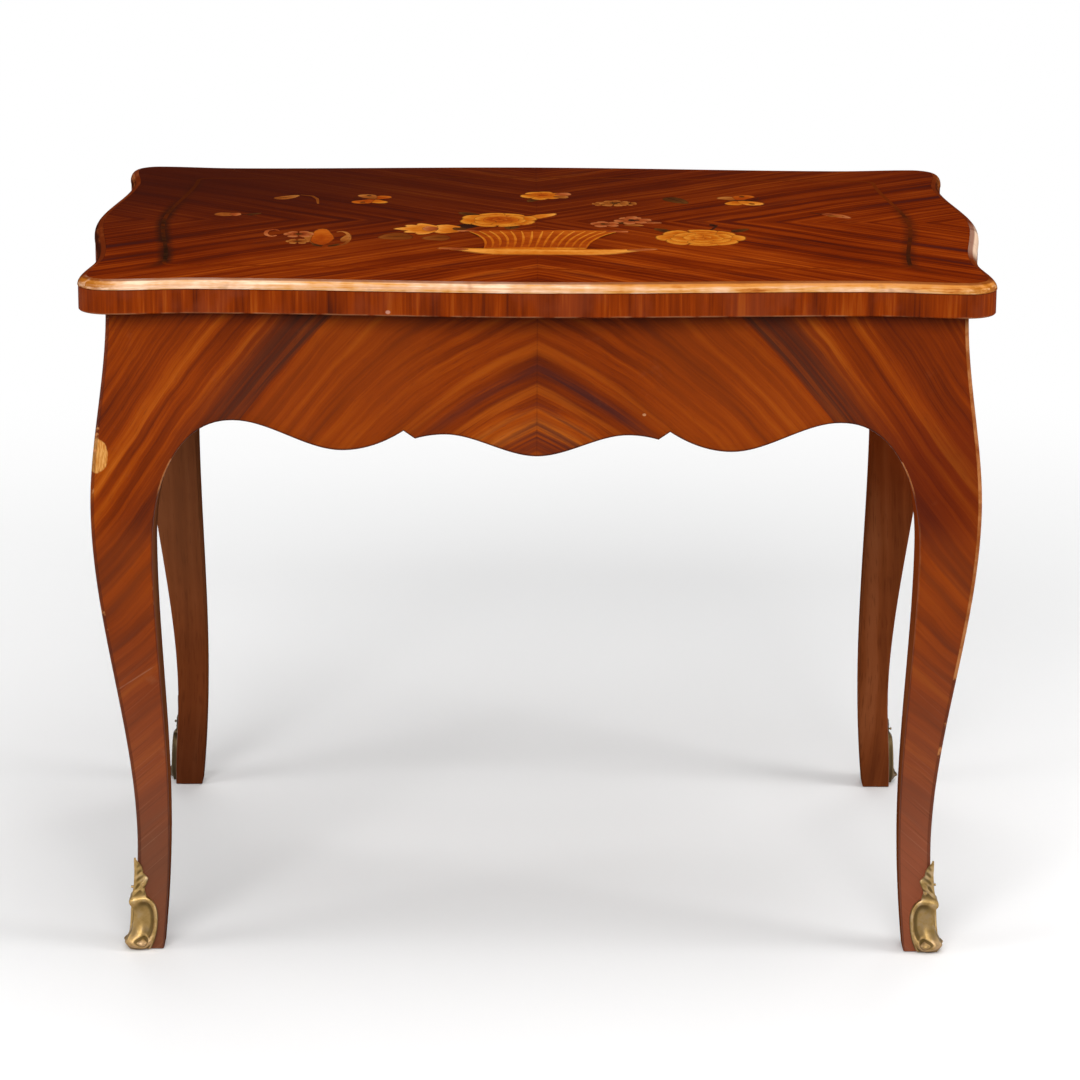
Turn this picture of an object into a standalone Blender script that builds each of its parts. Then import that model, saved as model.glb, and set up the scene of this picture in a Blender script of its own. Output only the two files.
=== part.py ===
"""Low side table with a serpentine marquetry top, cabriole legs and bronze foot mounts.

Metres, +Z up, the front faces -Y, the feet stand on z = 0. One named object per piece.
"""
import math

import bmesh
import bpy
from mathutils import Matrix, Vector

# Overall sizes
TABLE_HEIGHT = 0.500
FRAME_WIDTH = 0.600
FRAME_DEPTH = 0.414
FIT_GAP = 0.0003

# Top
TOP_THICKNESS = 0.024
VENEER_THICKNESS = 0.001
TOP_OVERHANG = 0.0190
SIDE_BULGE = 0.0070
FRONT_BULGE = 0.0040
NOTCH_DEPTH = 0.0060
NOTCH_SETBACK = 0.060
EAR_RADIUS = 0.022
EDGE_ROUND = 0.0065
EDGE_WIDTH = 0.012
STRING_INSET = 0.049
STRING_WIDTH = 0.0030
STRING_CORNER = 0.010

# Legs: depths are taken below the top of the frame, bulges outward from its corner
POST_WIDTH = 0.045
KNEE_DEPTH = 0.141
KNEE_BULGE = 0.0124
KNEE_INNER = 0.0305
ANKLE_HEIGHT = 0.080
ANKLE_SETBACK = 0.0133
ANKLE_INNER_HEIGHT = 0.105
ANKLE_INNER = 0.0368
FOOT_SETBACK = 0.0100
FOOT_INNER = 0.0313
LEG_ARRIS = 0.0012

# Aprons
APRON_THICKNESS = 0.020
ARCH_SPRING_DEPTH = 0.176
ARCH_TOP_DEPTH = 0.077
ARCH_RUN = 0.0575
ARCH_FULLNESS = 2.25
CENTRE_DEPTH = 0.1012
HUMP_DEPTH = 0.0862
POINT_DEPTH = 0.0892
TIP_DEPTH = 0.0838
LOBE_DEPTH = 0.0975
TENON_LENGTH = 0.018
TENON_THICKNESS = 0.009
TENON_HEIGHT = 0.056
TENON_DROP = 0.012
TENON_SETBACK = 0.0095

# Corner blocks and the screws that hold the top
BLOCK_REACH = 0.100
BLOCK_HEIGHT = 0.045
SCREW_RADIUS = 0.00225
SCREW_HEAD_RADIUS = 0.0045
SCREW_HEAD_RIM = 0.0008
SCREW_BITE = 0.012
SLOT_WIDTH = 0.0012
SLOT_DEPTH = 0.0011

# Foot mounts
SABOT_HEIGHT = 0.067
SABOT_WIDTH = 0.0165
SABOT_SHELL = 0.0020
SABOT_RIM = 0.0014
SABOT_TOE = 0.0060
SABOT_CLEAR = 0.0006
PIN_RADIUS = 0.0008
PIN_HEAD_RADIUS = 0.0014
PIN_HEAD_RISE = 0.0009
PIN_BITE = 0.008
PIN_HEIGHT = 0.0490
PIN_FROM_ARRIS = 0.0050
PIN_STAGGER = 0.0040

# The marquetry was drawn for a field of this half width and half depth
DRAWN_HALF_WIDTH = 0.2607
DRAWN_HALF_DEPTH = 0.1677
BASKET_MIDDLE = 0.003
BASKET_FOOT_FRONT = 0.099
BASKET_RIM_FRONT = 0.039
BASKET_FOOT_HALF = 0.036
BASKET_RIM_HALF = 0.058
PLINTH_MIDDLE = 0.0075
PLINTH_NEAR = 0.129
PLINTH_FAR = 0.1035
PLINTH_HALF = 0.075

HALF_W = FRAME_WIDTH / 2
HALF_D = FRAME_DEPTH / 2
FRAME_TOP = TABLE_HEIGHT - TOP_THICKNESS - FIT_GAP
CORNERS = {
    "front_left": (-HALF_W, -HALF_D, 0.0),
    "front_right": (HALF_W, -HALF_D, math.pi / 2),
    "back_right": (HALF_W, HALF_D, math.pi),
    "back_left": (-HALF_W, HALF_D, -math.pi / 2),
}

for stale in list(bpy.data.objects):
    bpy.data.objects.remove(stale, do_unlink=True)

PARTS = bpy.data.collections.new("low_side_table")
CUTTERS = bpy.data.collections.new("cutters")
bpy.context.scene.collection.children.link(PARTS)
bpy.context.scene.collection.children.link(CUTTERS)


def material(name, colour, roughness, metallic=0.0):
    mat = bpy.data.materials.new(name)
    mat.use_nodes = True
    shader = mat.node_tree.nodes["Principled BSDF"]
    shader.inputs["Base Color"].default_value = (*colour, 1.0)
    shader.inputs["Roughness"].default_value = roughness
    shader.inputs["Metallic"].default_value = metallic
    return mat


MATERIALS = {
    "kingwood": material("kingwood_veneer", (0.23, 0.07, 0.03), 0.30),
    "field": material("field_veneer", (0.13, 0.04, 0.03), 0.30),
    "edge": material("edge_wood", (0.33, 0.13, 0.05), 0.32),
    "core": material("core_wood", (0.30, 0.18, 0.09), 0.60),
    "ebony": material("ebonised_line", (0.02, 0.012, 0.01), 0.30),
    "pale": material("pale_inlay_wood", (0.62, 0.42, 0.17), 0.32),
    "tan": material("tan_inlay_wood", (0.45, 0.20, 0.07), 0.32),
    "rose": material("rose_inlay_wood", (0.42, 0.17, 0.12), 0.32),
    "bronze": material("gilt_bronze", (0.42, 0.30, 0.12), 0.35, 1.0),
    "steel": material("screw_steel", (0.30, 0.29, 0.28), 0.40, 1.0),
}


def add_object(name, mesh, collection=PARTS, finish=None):
    obj = bpy.data.objects.new(name, mesh)
    collection.objects.link(obj)
    if collection is CUTTERS:
        obj.hide_render = True
        obj.display_type = "WIRE"
    if finish:
        mesh.materials.clear()
        mesh.materials.append(MATERIALS[finish])
    return obj


def place(obj, x=0.0, y=0.0, z=0.0, turn=0.0):
    obj.location = (x, y, z)
    obj.rotation_euler = (0.0, 0.0, turn)
    return obj


def finished_mesh(obj, name):
    """Mesh of an object with its modifiers done and its place in the mesh."""
    bpy.context.view_layer.update()
    graph = bpy.context.evaluated_depsgraph_get()
    mesh = bpy.data.meshes.new_from_object(obj.evaluated_get(graph))
    mesh.transform(obj.matrix_world)
    mesh.name = name
    work = bmesh.new()
    work.from_mesh(mesh)
    bmesh.ops.remove_doubles(work, verts=work.verts, dist=1e-6)
    bmesh.ops.recalc_face_normals(work, faces=work.faces)
    work.to_mesh(mesh)
    work.free()
    return mesh


def flat_solid(name, loops, low, high, tilt=0.0):
    """Closed outlines filled and extruded from low to high. A tilt stands the sheet up."""
    curve = bpy.data.curves.new(name, "CURVE")
    curve.dimensions = "2D"
    curve.fill_mode = "BOTH"
    curve.extrude = (high - low) / 2
    for loop in loops:
        spline = curve.splines.new("POLY")
        spline.points.add(len(loop) - 1)
        for point, (x, y) in zip(spline.points, loop):
            point.co = (x, y, 0.0, 1.0)
        spline.use_cyclic_u = True
    obj = add_object(name + "_outline", curve, CUTTERS)
    lift = Matrix.Translation((0.0, 0.0, (low + high) / 2))
    obj.matrix_world = Matrix.Rotation(tilt, 4, "X") @ lift
    mesh = finished_mesh(obj, name)
    bpy.data.objects.remove(obj, do_unlink=True)
    return mesh


def block_cutter(name, low, high):
    centre = (Vector(low) + Vector(high)) / 2
    size = Vector(high) - Vector(low)
    mesh = bpy.data.meshes.new(name)
    work = bmesh.new()
    bmesh.ops.create_cube(work, size=1.0, matrix=Matrix.Translation(centre) @ Matrix.Diagonal((*size, 1.0)))
    work.to_mesh(mesh)
    work.free()
    return add_object(name, mesh, CUTTERS)


def turned(name, profile, steps, axis="Z"):
    """Solid of revolution from (radius, height) points, with the Screw modifier."""
    mesh = bpy.data.meshes.new(name)
    work = bmesh.new()
    ring = [work.verts.new((radius, 0.0, height)) for radius, height in profile]
    for first, second in zip(ring, ring[1:]):
        work.edges.new((first, second))
    work.to_mesh(mesh)
    work.free()
    obj = add_object(name + "_profile", mesh, CUTTERS)
    spin = obj.modifiers.new("turn", "SCREW")
    spin.axis = "Z"
    spin.steps = steps
    spin.render_steps = steps
    spin.use_merge_vertices = True
    spin.merge_threshold = 0.00001
    spin.use_normal_calculate = True
    if axis == "Y":
        obj.rotation_euler = (math.pi / 2, 0.0, 0.0)
    result = finished_mesh(obj, name)
    bpy.data.objects.remove(obj, do_unlink=True)
    return result


def combine(mesh, operation, cutters, name):
    """One mesh joined with, cut by or kept inside each cutter in turn."""
    obj = add_object(name + "_work", mesh, CUTTERS)
    for cutter in cutters:
        tool = obj.modifiers.new(operation.lower(), "BOOLEAN")
        tool.operation = operation
        tool.solver = "EXACT"
        tool.object = cutter
    result = finished_mesh(obj, name)
    bpy.data.objects.remove(obj, do_unlink=True)
    return result


def smooth(t):
    t = min(1.0, max(0.0, t))
    return t * t * (3.0 - 2.0 * t)


def blend(value, knots):
    """Smooth curve through (position, size) knots, level at each knot."""
    for (start, first), (end, second) in zip(knots, knots[1:]):
        if value <= end:
            return first + (second - first) * smooth((value - start) / (end - start))
    return knots[-1][1]


def spread(start, end, count):
    return [start + (end - start) * k / count for k in range(count + 1)]


def grow(loop, distance):
    """Outline moved outward by a distance, for a pocket round an inlay."""
    moved = []
    for index, point in enumerate(loop):
        before = Vector(loop[index - 1])
        after = Vector(loop[(index + 1) % len(loop)])
        here = Vector(point)
        first = (here - before).normalized()
        second = (after - here).normalized()
        normal = (Vector((first.y, -first.x)) + Vector((second.y, -second.x))).normalized()
        share = max(0.5, normal.dot(Vector((first.y, -first.x))))
        shifted = here + normal * (distance / share)
        moved.append((shifted.x, shifted.y))
    return moved


def serpentine(inset, corner, eared=True):
    """Outline of the top, drawn in from the rim, anticlockwise from the middle of the right side."""
    ear_x = HALF_W + TOP_OVERHANG - inset
    ear_y = HALF_D + TOP_OVERHANG - inset
    notch = EAR_RADIUS + NOTCH_SETBACK
    side_steps = 6
    front_steps = 8
    if eared:
        turn_x = ear_x - corner
        turn_y = ear_y - corner
        notch_x = HALF_W + TOP_OVERHANG - notch
        notch_y = HALF_D + TOP_OVERHANG - notch
        side = [(0.0, ear_x + SIDE_BULGE), (notch_y, ear_x - NOTCH_DEPTH), (turn_y, ear_x)]
        front = [(0.0, ear_y + FRONT_BULGE), (notch_x, ear_y - NOTCH_DEPTH), (turn_x, ear_y)]
        side_stops = spread(0.0, notch_y, side_steps) + spread(notch_y, turn_y, 4)[1:]
        front_stops = spread(turn_x, notch_x, 4)[1:] + spread(notch_x, 0.0, front_steps)[1:]
    else:
        turn_x = ear_x - NOTCH_DEPTH - corner
        turn_y = ear_y - NOTCH_DEPTH - corner
        side = [(0.0, ear_x + SIDE_BULGE), (turn_y, turn_x + corner)]
        front = [(0.0, ear_y + FRONT_BULGE), (turn_x, turn_y + corner)]
        side_stops = spread(0.0, turn_y, side_steps)
        front_stops = spread(turn_x, 0.0, front_steps)[1:]
    quarter = [(blend(y, side), y) for y in side_stops]
    for angle in spread(0.0, math.pi / 2, 6 if eared else 3)[1:]:
        quarter.append((turn_x + corner * math.cos(angle), turn_y + corner * math.sin(angle)))
    quarter += [(x, blend(x, front)) for x in front_stops]
    loop = quarter[:-1]
    loop += [(-x, y) for x, y in reversed(quarter[1:])]
    loop += [(-x, -y) for x, y in quarter[:-1]]
    loop += [(x, -y) for x, y in reversed(quarter[1:])]
    return loop


def lofted_ring(name, rings):
    """Closed band through rings of points that all have the same count."""
    work = bmesh.new()
    loops = [[work.verts.new(point) for point in ring] for ring in rings]
    count = len(loops[0])
    for index, loop in enumerate(loops):
        following = loops[(index + 1) % len(loops)]
        for k in range(count):
            step = (k + 1) % count
            work.faces.new((loop[k], loop[step], following[step], following[k]))
    bmesh.ops.recalc_face_normals(work, faces=work.faces)
    mesh = bpy.data.meshes.new(name)
    work.to_mesh(mesh)
    work.free()
    return mesh


def mitre_cutter(name, along_x):
    """Prism that keeps one side of a band, bounded by the two mitres at its corners."""
    turn_x = HALF_W + TOP_OVERHANG - EAR_RADIUS
    turn_y = HALF_D + TOP_OVERHANG - EAR_RADIUS
    near = STRING_INSET + 0.5 * EAR_RADIUS
    far = 3.0 * EAR_RADIUS
    slip = FIT_GAP / math.sqrt(2.0)
    if along_x:
        loop = [
            (-turn_x - far + slip, -turn_y - far),
            (turn_x + far - slip, -turn_y - far),
            (turn_x - near - slip, -turn_y + near),
            (-turn_x + near + slip, -turn_y + near),
        ]
    else:
        loop = [
            (turn_x - near, turn_y - near - slip),
            (turn_x - near, -turn_y + near + slip),
            (turn_x + far, -turn_y - far + slip),
            (turn_x + far, turn_y + far - slip),
        ]
    mesh = flat_solid(name, [loop], TABLE_HEIGHT - 2 * TOP_THICKNESS, TABLE_HEIGHT + TOP_THICKNESS)
    return add_object(name, mesh, CUTTERS)


def leg_outer(z):
    """How far the outer face stands out from the frame corner at a height."""
    return blend(z, [
        (0.0, -FOOT_SETBACK),
        (ANKLE_HEIGHT, -ANKLE_SETBACK),
        (FRAME_TOP - KNEE_DEPTH, KNEE_BULGE),
        (FRAME_TOP, 0.0),
    ])


ARCH_SPRING = FRAME_TOP - ARCH_SPRING_DEPTH
ARCH_TOP = FRAME_TOP - ARCH_TOP_DEPTH


def arch_rise(inner):
    """Height of the arch at a distance in from the frame corner."""
    share = min(1.0, max(0.0, 1.0 - (inner - KNEE_INNER) / ARCH_RUN))
    rise = (1.0 - share ** ARCH_FULLNESS) ** (1.0 / ARCH_FULLNESS)
    return ARCH_SPRING + (ARCH_TOP - ARCH_SPRING) * rise


POST_FOOT = arch_rise(POST_WIDTH)


def leg_inner(z):
    """How far in from the frame corner the inner face lies at a height."""
    if z <= ANKLE_INNER_HEIGHT:
        drop = 1.0 - z / ANKLE_INNER_HEIGHT
        return ANKLE_INNER - (ANKLE_INNER - FOOT_INNER) * drop * drop
    if z <= ARCH_SPRING:
        return blend(z, [(ANKLE_INNER_HEIGHT, ANKLE_INNER), (ARCH_SPRING, KNEE_INNER)])
    if z >= POST_FOOT:
        return POST_WIDTH
    rise = (z - ARCH_SPRING) / (ARCH_TOP - ARCH_SPRING)
    return KNEE_INNER + ARCH_RUN * (1.0 - (1.0 - rise ** ARCH_FULLNESS) ** (1.0 / ARCH_FULLNESS))


def leg_levels():
    knee = FRAME_TOP - KNEE_DEPTH
    levels = spread(0.0, ANKLE_HEIGHT, 5)
    levels += spread(ANKLE_HEIGHT, ARCH_SPRING, 12)[1:]
    levels += spread(ARCH_SPRING, POST_FOOT, 8)[1:]
    levels += spread(POST_FOOT, FRAME_TOP, 7)[1:]
    return sorted(set(levels))


def leg_mesh():
    work = bmesh.new()
    rings = []
    for z in leg_levels():
        out = -leg_outer(z)
        inn = leg_inner(z)
        soft = out + LEG_ARRIS
        square = [(soft, out), (inn, out), (inn, inn), (out, inn), (out, soft)]
        rings.append([work.verts.new((x, y, z)) for x, y in square])
    for lower, upper in zip(rings, rings[1:]):
        for k in range(5):
            step = (k + 1) % 5
            work.faces.new((lower[k], lower[step], upper[step], upper[k]))
    work.faces.new(list(reversed(rings[0])))
    work.faces.new(rings[-1])
    mesh = bpy.data.meshes.new("leg_blank")
    work.to_mesh(mesh)
    work.free()
    return mesh


def apron_edge(half_length, lobed):
    """Lower edge from the middle to the end of an apron, as (distance, height) points."""
    span = half_length - KNEE_INNER - ARCH_RUN
    hump = FRAME_TOP - HUMP_DEPTH
    point = FRAME_TOP - POINT_DEPTH
    tip = FRAME_TOP - TIP_DEPTH
    centre = FRAME_TOP - CENTRE_DEPTH
    lobe = FRAME_TOP - LOBE_DEPTH
    hump_at, point_at, tip_at, lobe_at = (0.302, 0.401, 0.439, 0.642) if lobed else (0.43, 0.57, 0.625, 1.0)
    edge = [(x, blend(x, [(0.0, centre), (span * hump_at, hump)])) for x in spread(0.0, span * hump_at, 8)]
    for share in spread(0.0, 1.0, 4)[1:]:
        x = span * (hump_at + (point_at - hump_at) * share)
        edge.append((x, hump + (point - hump) * share * share))
    if lobed:
        for share in spread(0.0, 1.0, 6):
            x = span * (tip_at + (lobe_at - tip_at) * share)
            edge.append((x, lobe + (tip - lobe) * (1.0 - share) ** 2))
        for x in spread(span * lobe_at, span, 8)[1:]:
            edge.append((x, blend(x, [(span * lobe_at, lobe), (span, ARCH_TOP)])))
    else:
        for x in spread(span * tip_at, span, 6):
            edge.append((x, blend(x, [(span * tip_at, tip), (span, ARCH_TOP)])))
    end = half_length - POST_WIDTH - FIT_GAP
    for share in spread(0.0, 1.0, 6)[1:]:
        x = span + (end - span) * math.sin(share * math.pi / 2)
        edge.append((x, arch_rise(half_length - x)))
    return edge, end


def apron_mesh(name, half_length, lobed):
    """Apron along X with its corner line on y = 0 and its outer face towards -Y."""
    edge, end = apron_edge(half_length, lobed)
    outline = edge + [(end, FRAME_TOP), (-end, FRAME_TOP)]
    outline += [(-x, z) for x, z in reversed(edge[1:])]
    board = flat_solid(name, [outline], -0.1, 0.1, math.pi / 2)
    levels = spread(FRAME_TOP + 0.01, FRAME_TOP - CENTRE_DEPTH - 0.01, 9)
    section = [(-leg_outer(min(z, FRAME_TOP)), z) for z in levels]
    section += [(APRON_THICKNESS, levels[-1]), (APRON_THICKNESS, levels[0])]
    swell = flat_solid(name + "_swell", [section], -half_length, half_length, math.pi / 2)
    swell.transform(Matrix.Rotation(math.pi / 2, 4, "Z"))
    keep = add_object(name + "_swell", swell, CUTTERS)
    shaped = combine(board, "INTERSECT", [keep], name)
    tenons = []
    for side in (-1, 1):
        ends = sorted((side * (end - 0.006), side * (end + TENON_LENGTH)))
        low = (ends[0], TENON_SETBACK, FRAME_TOP - TENON_DROP - TENON_HEIGHT)
        high = (ends[1], TENON_SETBACK + TENON_THICKNESS, FRAME_TOP - TENON_DROP)
        tenons.append(block_cutter(name + "_tenon", low, high))
    return combine(shaped, "UNION", tenons, name)


def sabot_width(z):
    return SABOT_WIDTH * blend(z / SABOT_HEIGHT, [
        (0.0, 0.80), (0.32, 1.0), (0.62, 0.50), (0.75, 0.60), (1.0, 0.06),
    ])


def sabot_thickness(u, z):
    """Metal thickness at a distance from the arris and a height."""
    across = abs(u) / sabot_width(z)
    rim = SABOT_RIM * smooth((across - 0.55) / 0.35)
    toe = SABOT_TOE * math.exp(-(z / 0.011) ** 2 - (u / 0.007) ** 2)
    ridge = 0.6 * SABOT_RIM * (1.0 - smooth(across / 0.5))
    taper = 1.0 - 0.45 * smooth((z / SABOT_HEIGHT - 0.7) / 0.3)
    return (SABOT_SHELL + rim + ridge) * taper + toe


def sabot_mesh():
    """Shell wrapped round the outer corner of a foot, thickened outward by vertex weight."""
    rows = spread(SABOT_CLEAR, SABOT_HEIGHT, 13)
    columns = spread(-1.0, 1.0, 12)
    work = bmesh.new()
    bmesh.ops.create_grid(work, x_segments=len(columns) - 1, y_segments=len(rows) - 1, size=0.5)
    weights = []
    work.verts.ensure_lookup_table()
    for vert in work.verts:
        share = columns[round((vert.co.x + 0.5) * (len(columns) - 1))]
        z = rows[round((vert.co.y + 0.5) * (len(rows) - 1))]
        u = share * sabot_width(z)
        face = -leg_outer(z) - FIT_GAP
        vert.co = (face + max(0.0, -u), face + max(0.0, u), z)
        weights.append(sabot_thickness(u, z))
    work.normal_update()
    work.faces.ensure_lookup_table()
    if work.faces[0].normal.dot(Vector((-1.0, -1.0, 0.0))) < 0.0:
        bmesh.ops.reverse_faces(work, faces=work.faces)
    mesh = bpy.data.meshes.new("sabot_sheet")
    work.to_mesh(mesh)
    work.free()
    obj = add_object("sabot_sheet", mesh, CUTTERS)
    group = obj.vertex_groups.new(name="metal")
    thickest = max(weights)
    for index, weight in enumerate(weights):
        group.add([index], weight / thickest, "REPLACE")
    shell = obj.modifiers.new("metal", "SOLIDIFY")
    shell.thickness = thickest
    shell.offset = 1.0
    shell.use_even_offset = True
    shell.vertex_group = "metal"
    result = finished_mesh(obj, "sabot")
    bpy.data.objects.remove(obj, do_unlink=True)
    return result


def wave_loop(x, y, half_x, half_y, petals, depth, turn=0.0, count=36):
    """Petalled outline about a centre."""
    loop = []
    for k in range(count):
        angle = 2.0 * math.pi * k / count
        reach = 1.0 - depth * (0.5 - 0.5 * math.cos(petals * angle))
        wide = half_x * reach * math.cos(angle)
        deep = half_y * reach * math.sin(angle)
        loop.append((
            x + wide * math.cos(turn) - deep * math.sin(turn),
            y + wide * math.sin(turn) + deep * math.cos(turn),
        ))
    return loop


def basket_loop(x, low, high, foot, rim):
    """Flared basket with hollow sides and a rim that bows up."""
    side = []
    for share in spread(0.0, 1.0, 6):
        side.append((foot + (rim - foot) * share * share, low + (high - low) * share))
    bow = 0.06 * (high - low)
    top = [(rim * math.cos(a), high + bow * math.sin(a)) for a in spread(0.0, math.pi, 8)[1:-1]]
    right = [(x + reach, y) for reach, y in side]
    left = [(x - reach, y) for reach, y in reversed(side)]
    return right + [(x + reach, y) for reach, y in top] + left


def plinth_loop(x, low, high, half):
    taper = 0.5 * (high - low)
    return [
        (x - half, (low + high) / 2), (x - half + taper, low), (x + half - taper, low),
        (x + half, (low + high) / 2), (x + half - taper, high), (x - half + taper, high),
    ]


FLOWERS = [
    ("inlay_rose_centre", "pale", -0.0225, 0.006, 0.032, 0.027, 5, 0.14, 0.4),
    ("inlay_rose_right", "tan", 0.1175, -0.060, 0.031, 0.031, 6, 0.14, 0.0),
    ("inlay_blossom_left", "pale", -0.0850, -0.030, 0.024, 0.024, 4, 0.30, 0.6),
    ("inlay_blossom_back", "pale", 0.0075, 0.106, 0.017, 0.025, 5, 0.24, 0.3),
    ("inlay_ring_flower", "tan", 0.0600, 0.074, 0.015, 0.017, 8, 0.14, 0.0),
    ("inlay_pink_flower", "rose", 0.0660, -0.002, 0.022, 0.021, 3, 0.34, 0.5),
    ("inlay_butterfly_right", "pale", 0.1540, 0.095, 0.017, 0.028, 4, 0.46, 0.3),
    ("inlay_butterfly_left", "tan", -0.1175, 0.083, 0.015, 0.027, 4, 0.42, -0.3),
    ("inlay_flower_low_left", "rose", -0.1625, -0.068, 0.026, 0.030, 5, 0.26, 0.2),
    ("inlay_leaf_back_left", "tan", -0.1865, 0.090, 0.011, 0.015, 2, 0.40, 0.5),
    ("inlay_bud_left", "pale", -0.2285, 0.020, 0.008, 0.010, 4, 0.18, 0.8),
    ("inlay_bud_right", "rose", 0.2250, 0.025, 0.010, 0.010, 3, 0.36, 0.0),
]


def build_top():
    veneer_low = TABLE_HEIGHT - VENEER_THICKNESS
    board_high = veneer_low - FIT_GAP
    board_low = TABLE_HEIGHT - TOP_THICKNESS

    edge_section = [(0.0, board_low), (0.0, TABLE_HEIGHT - EDGE_ROUND)]
    for angle in spread(0.0, math.pi / 2, 4)[1:]:
        inset = EDGE_ROUND * (1.0 - math.cos(angle))
        edge_section.append((inset, TABLE_HEIGHT - EDGE_ROUND * (1.0 - math.sin(angle))))
    edge_section += [(EDGE_ROUND, board_high), (EDGE_WIDTH, board_high), (EDGE_WIDTH, board_low)]
    rings = []
    for inset, z in edge_section:
        rings.append([(x, y, z) for x, y in serpentine(inset, EAR_RADIUS - inset)])
    mitre_x = mitre_cutter("mitre_front", True)
    mitre_y = mitre_cutter("mitre_right", False)
    front = combine(lofted_ring("edge_ring", rings), "INTERSECT", [mitre_x], "edge_long")
    side = combine(lofted_ring("edge_ring", rings), "INTERSECT", [mitre_y], "edge_short")
    place(add_object("top_edge_front", front, finish="edge"))
    place(add_object("top_edge_back", front, finish="edge"), turn=math.pi)
    place(add_object("top_edge_right", side, finish="edge"))
    place(add_object("top_edge_left", side, finish="edge"), turn=math.pi)

    board_inset = EDGE_WIDTH + FIT_GAP
    board = flat_solid("board", [serpentine(board_inset, EAR_RADIUS - board_inset)], board_low, board_high)
    holes = []
    reach = SCREW_RADIUS + FIT_GAP
    deep = board_low + SCREW_BITE + 2 * FIT_GAP
    hole = turned("screw_hole", [(0.0, board_low - 0.01), (reach, board_low - 0.01), (reach, deep), (0.0, deep)], 12)
    for name, (x, y, turn) in CORNERS.items():
        at = Matrix.Rotation(turn, 4, "Z") @ Vector((screw_place(), screw_place(), 0.0))
        holes.append(place(add_object("screw_hole_" + name, hole, CUTTERS), x + at.x, y + at.y))
    add_object("top_board", combine(board, "DIFFERENCE", holes, "top_board"), finish="core")

    border_inset = EDGE_ROUND + FIT_GAP
    outer = serpentine(border_inset, EAR_RADIUS - border_inset)
    line_inset = STRING_INSET - FIT_GAP
    inner = serpentine(line_inset, STRING_CORNER + FIT_GAP, False)
    border = flat_solid("border", [outer, inner], veneer_low, TABLE_HEIGHT)
    long_strip = combine(border, "INTERSECT", [mitre_x], "border_long")
    short_strip = combine(border.copy(), "INTERSECT", [mitre_y], "border_short")
    place(add_object("border_veneer_front", long_strip, finish="field"))
    place(add_object("border_veneer_back", long_strip, finish="field"), turn=math.pi)
    place(add_object("border_veneer_right", short_strip, finish="field"))
    place(add_object("border_veneer_left", short_strip, finish="field"), turn=math.pi)

    string_loops = [serpentine(STRING_INSET, STRING_CORNER, False)]
    string_loops.append(serpentine(STRING_INSET + STRING_WIDTH, STRING_CORNER - STRING_WIDTH, False))
    add_object("stringing", flat_solid("stringing", string_loops, veneer_low, TABLE_HEIGHT), finish="ebony")
    build_field(veneer_low)


def build_field(veneer_low):
    field_inset = STRING_INSET + STRING_WIDTH + FIT_GAP
    half_x = HALF_W + TOP_OVERHANG - NOTCH_DEPTH - field_inset
    half_y = HALF_D + TOP_OVERHANG - NOTCH_DEPTH - field_inset
    wide = half_x / DRAWN_HALF_WIDTH
    deep = half_y / DRAWN_HALF_DEPTH
    size = min(wide, deep)
    inlays = []
    for name, finish, x, y, rx, ry, petals, depth, turn in FLOWERS:
        loop = wave_loop(x * wide, y * deep, rx * size, ry * size, petals, depth, turn)
        inlays.append((name, finish, loop))
    basket = basket_loop(
        BASKET_MIDDLE * wide, -BASKET_FOOT_FRONT * deep, -BASKET_RIM_FRONT * deep,
        BASKET_FOOT_HALF * size, BASKET_RIM_HALF * size,
    )
    inlays.append(("inlay_basket", "pale", basket))
    plinth = plinth_loop(
        PLINTH_MIDDLE * wide, -PLINTH_NEAR * deep, -PLINTH_FAR * deep, PLINTH_HALF * size,
    )
    inlays.append(("inlay_plinth", "pale", plinth))

    loops = [serpentine(field_inset, STRING_CORNER - STRING_WIDTH - FIT_GAP, False)]
    for name, finish, loop in inlays:
        add_object(name, flat_solid(name, [loop], veneer_low, TABLE_HEIGHT), finish=finish)
        loops.append(grow(loop, FIT_GAP))
    sheet = flat_solid("field", loops, veneer_low, TABLE_HEIGHT)
    far = FRAME_WIDTH
    slip = FIT_GAP / 2
    for depth_name, sign_y in (("front", -1), ("back", 1)):
        for side_name, sign_x in (("left", -1), ("right", 1)):
            xs = sorted((sign_x * slip, sign_x * far))
            ys = sorted((sign_y * slip, sign_y * far))
            low = (xs[0], ys[0], veneer_low - 0.01)
            high = (xs[1], ys[1], TABLE_HEIGHT + 0.01)
            corner = depth_name + "_" + side_name
            keep = block_cutter("quarter_" + corner, low, high)
            name = "field_veneer_" + corner
            add_object(name, combine(sheet.copy(), "INTERSECT", [keep], name), finish="field")


def screw_place():
    """Distance of a screw from the frame corner, half way across the neck of its block."""
    neck = POST_WIDTH + FIT_GAP
    diagonal = (BLOCK_REACH + APRON_THICKNESS + FIT_GAP) / 2
    return (neck + diagonal) / 2


def screw_profile(extra):
    length = BLOCK_HEIGHT + FIT_GAP + SCREW_BITE
    head = SCREW_HEAD_RADIUS + extra
    shank = SCREW_RADIUS + extra
    base = 0.0 if extra == 0.0 else -0.01
    cone = SCREW_HEAD_RIM + extra + head - shank
    return [
        (0.0, base), (head, base), (head, SCREW_HEAD_RIM + extra), (shank, cone),
        (shank, length - 2 * shank), (0.0, length),
    ]


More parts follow.
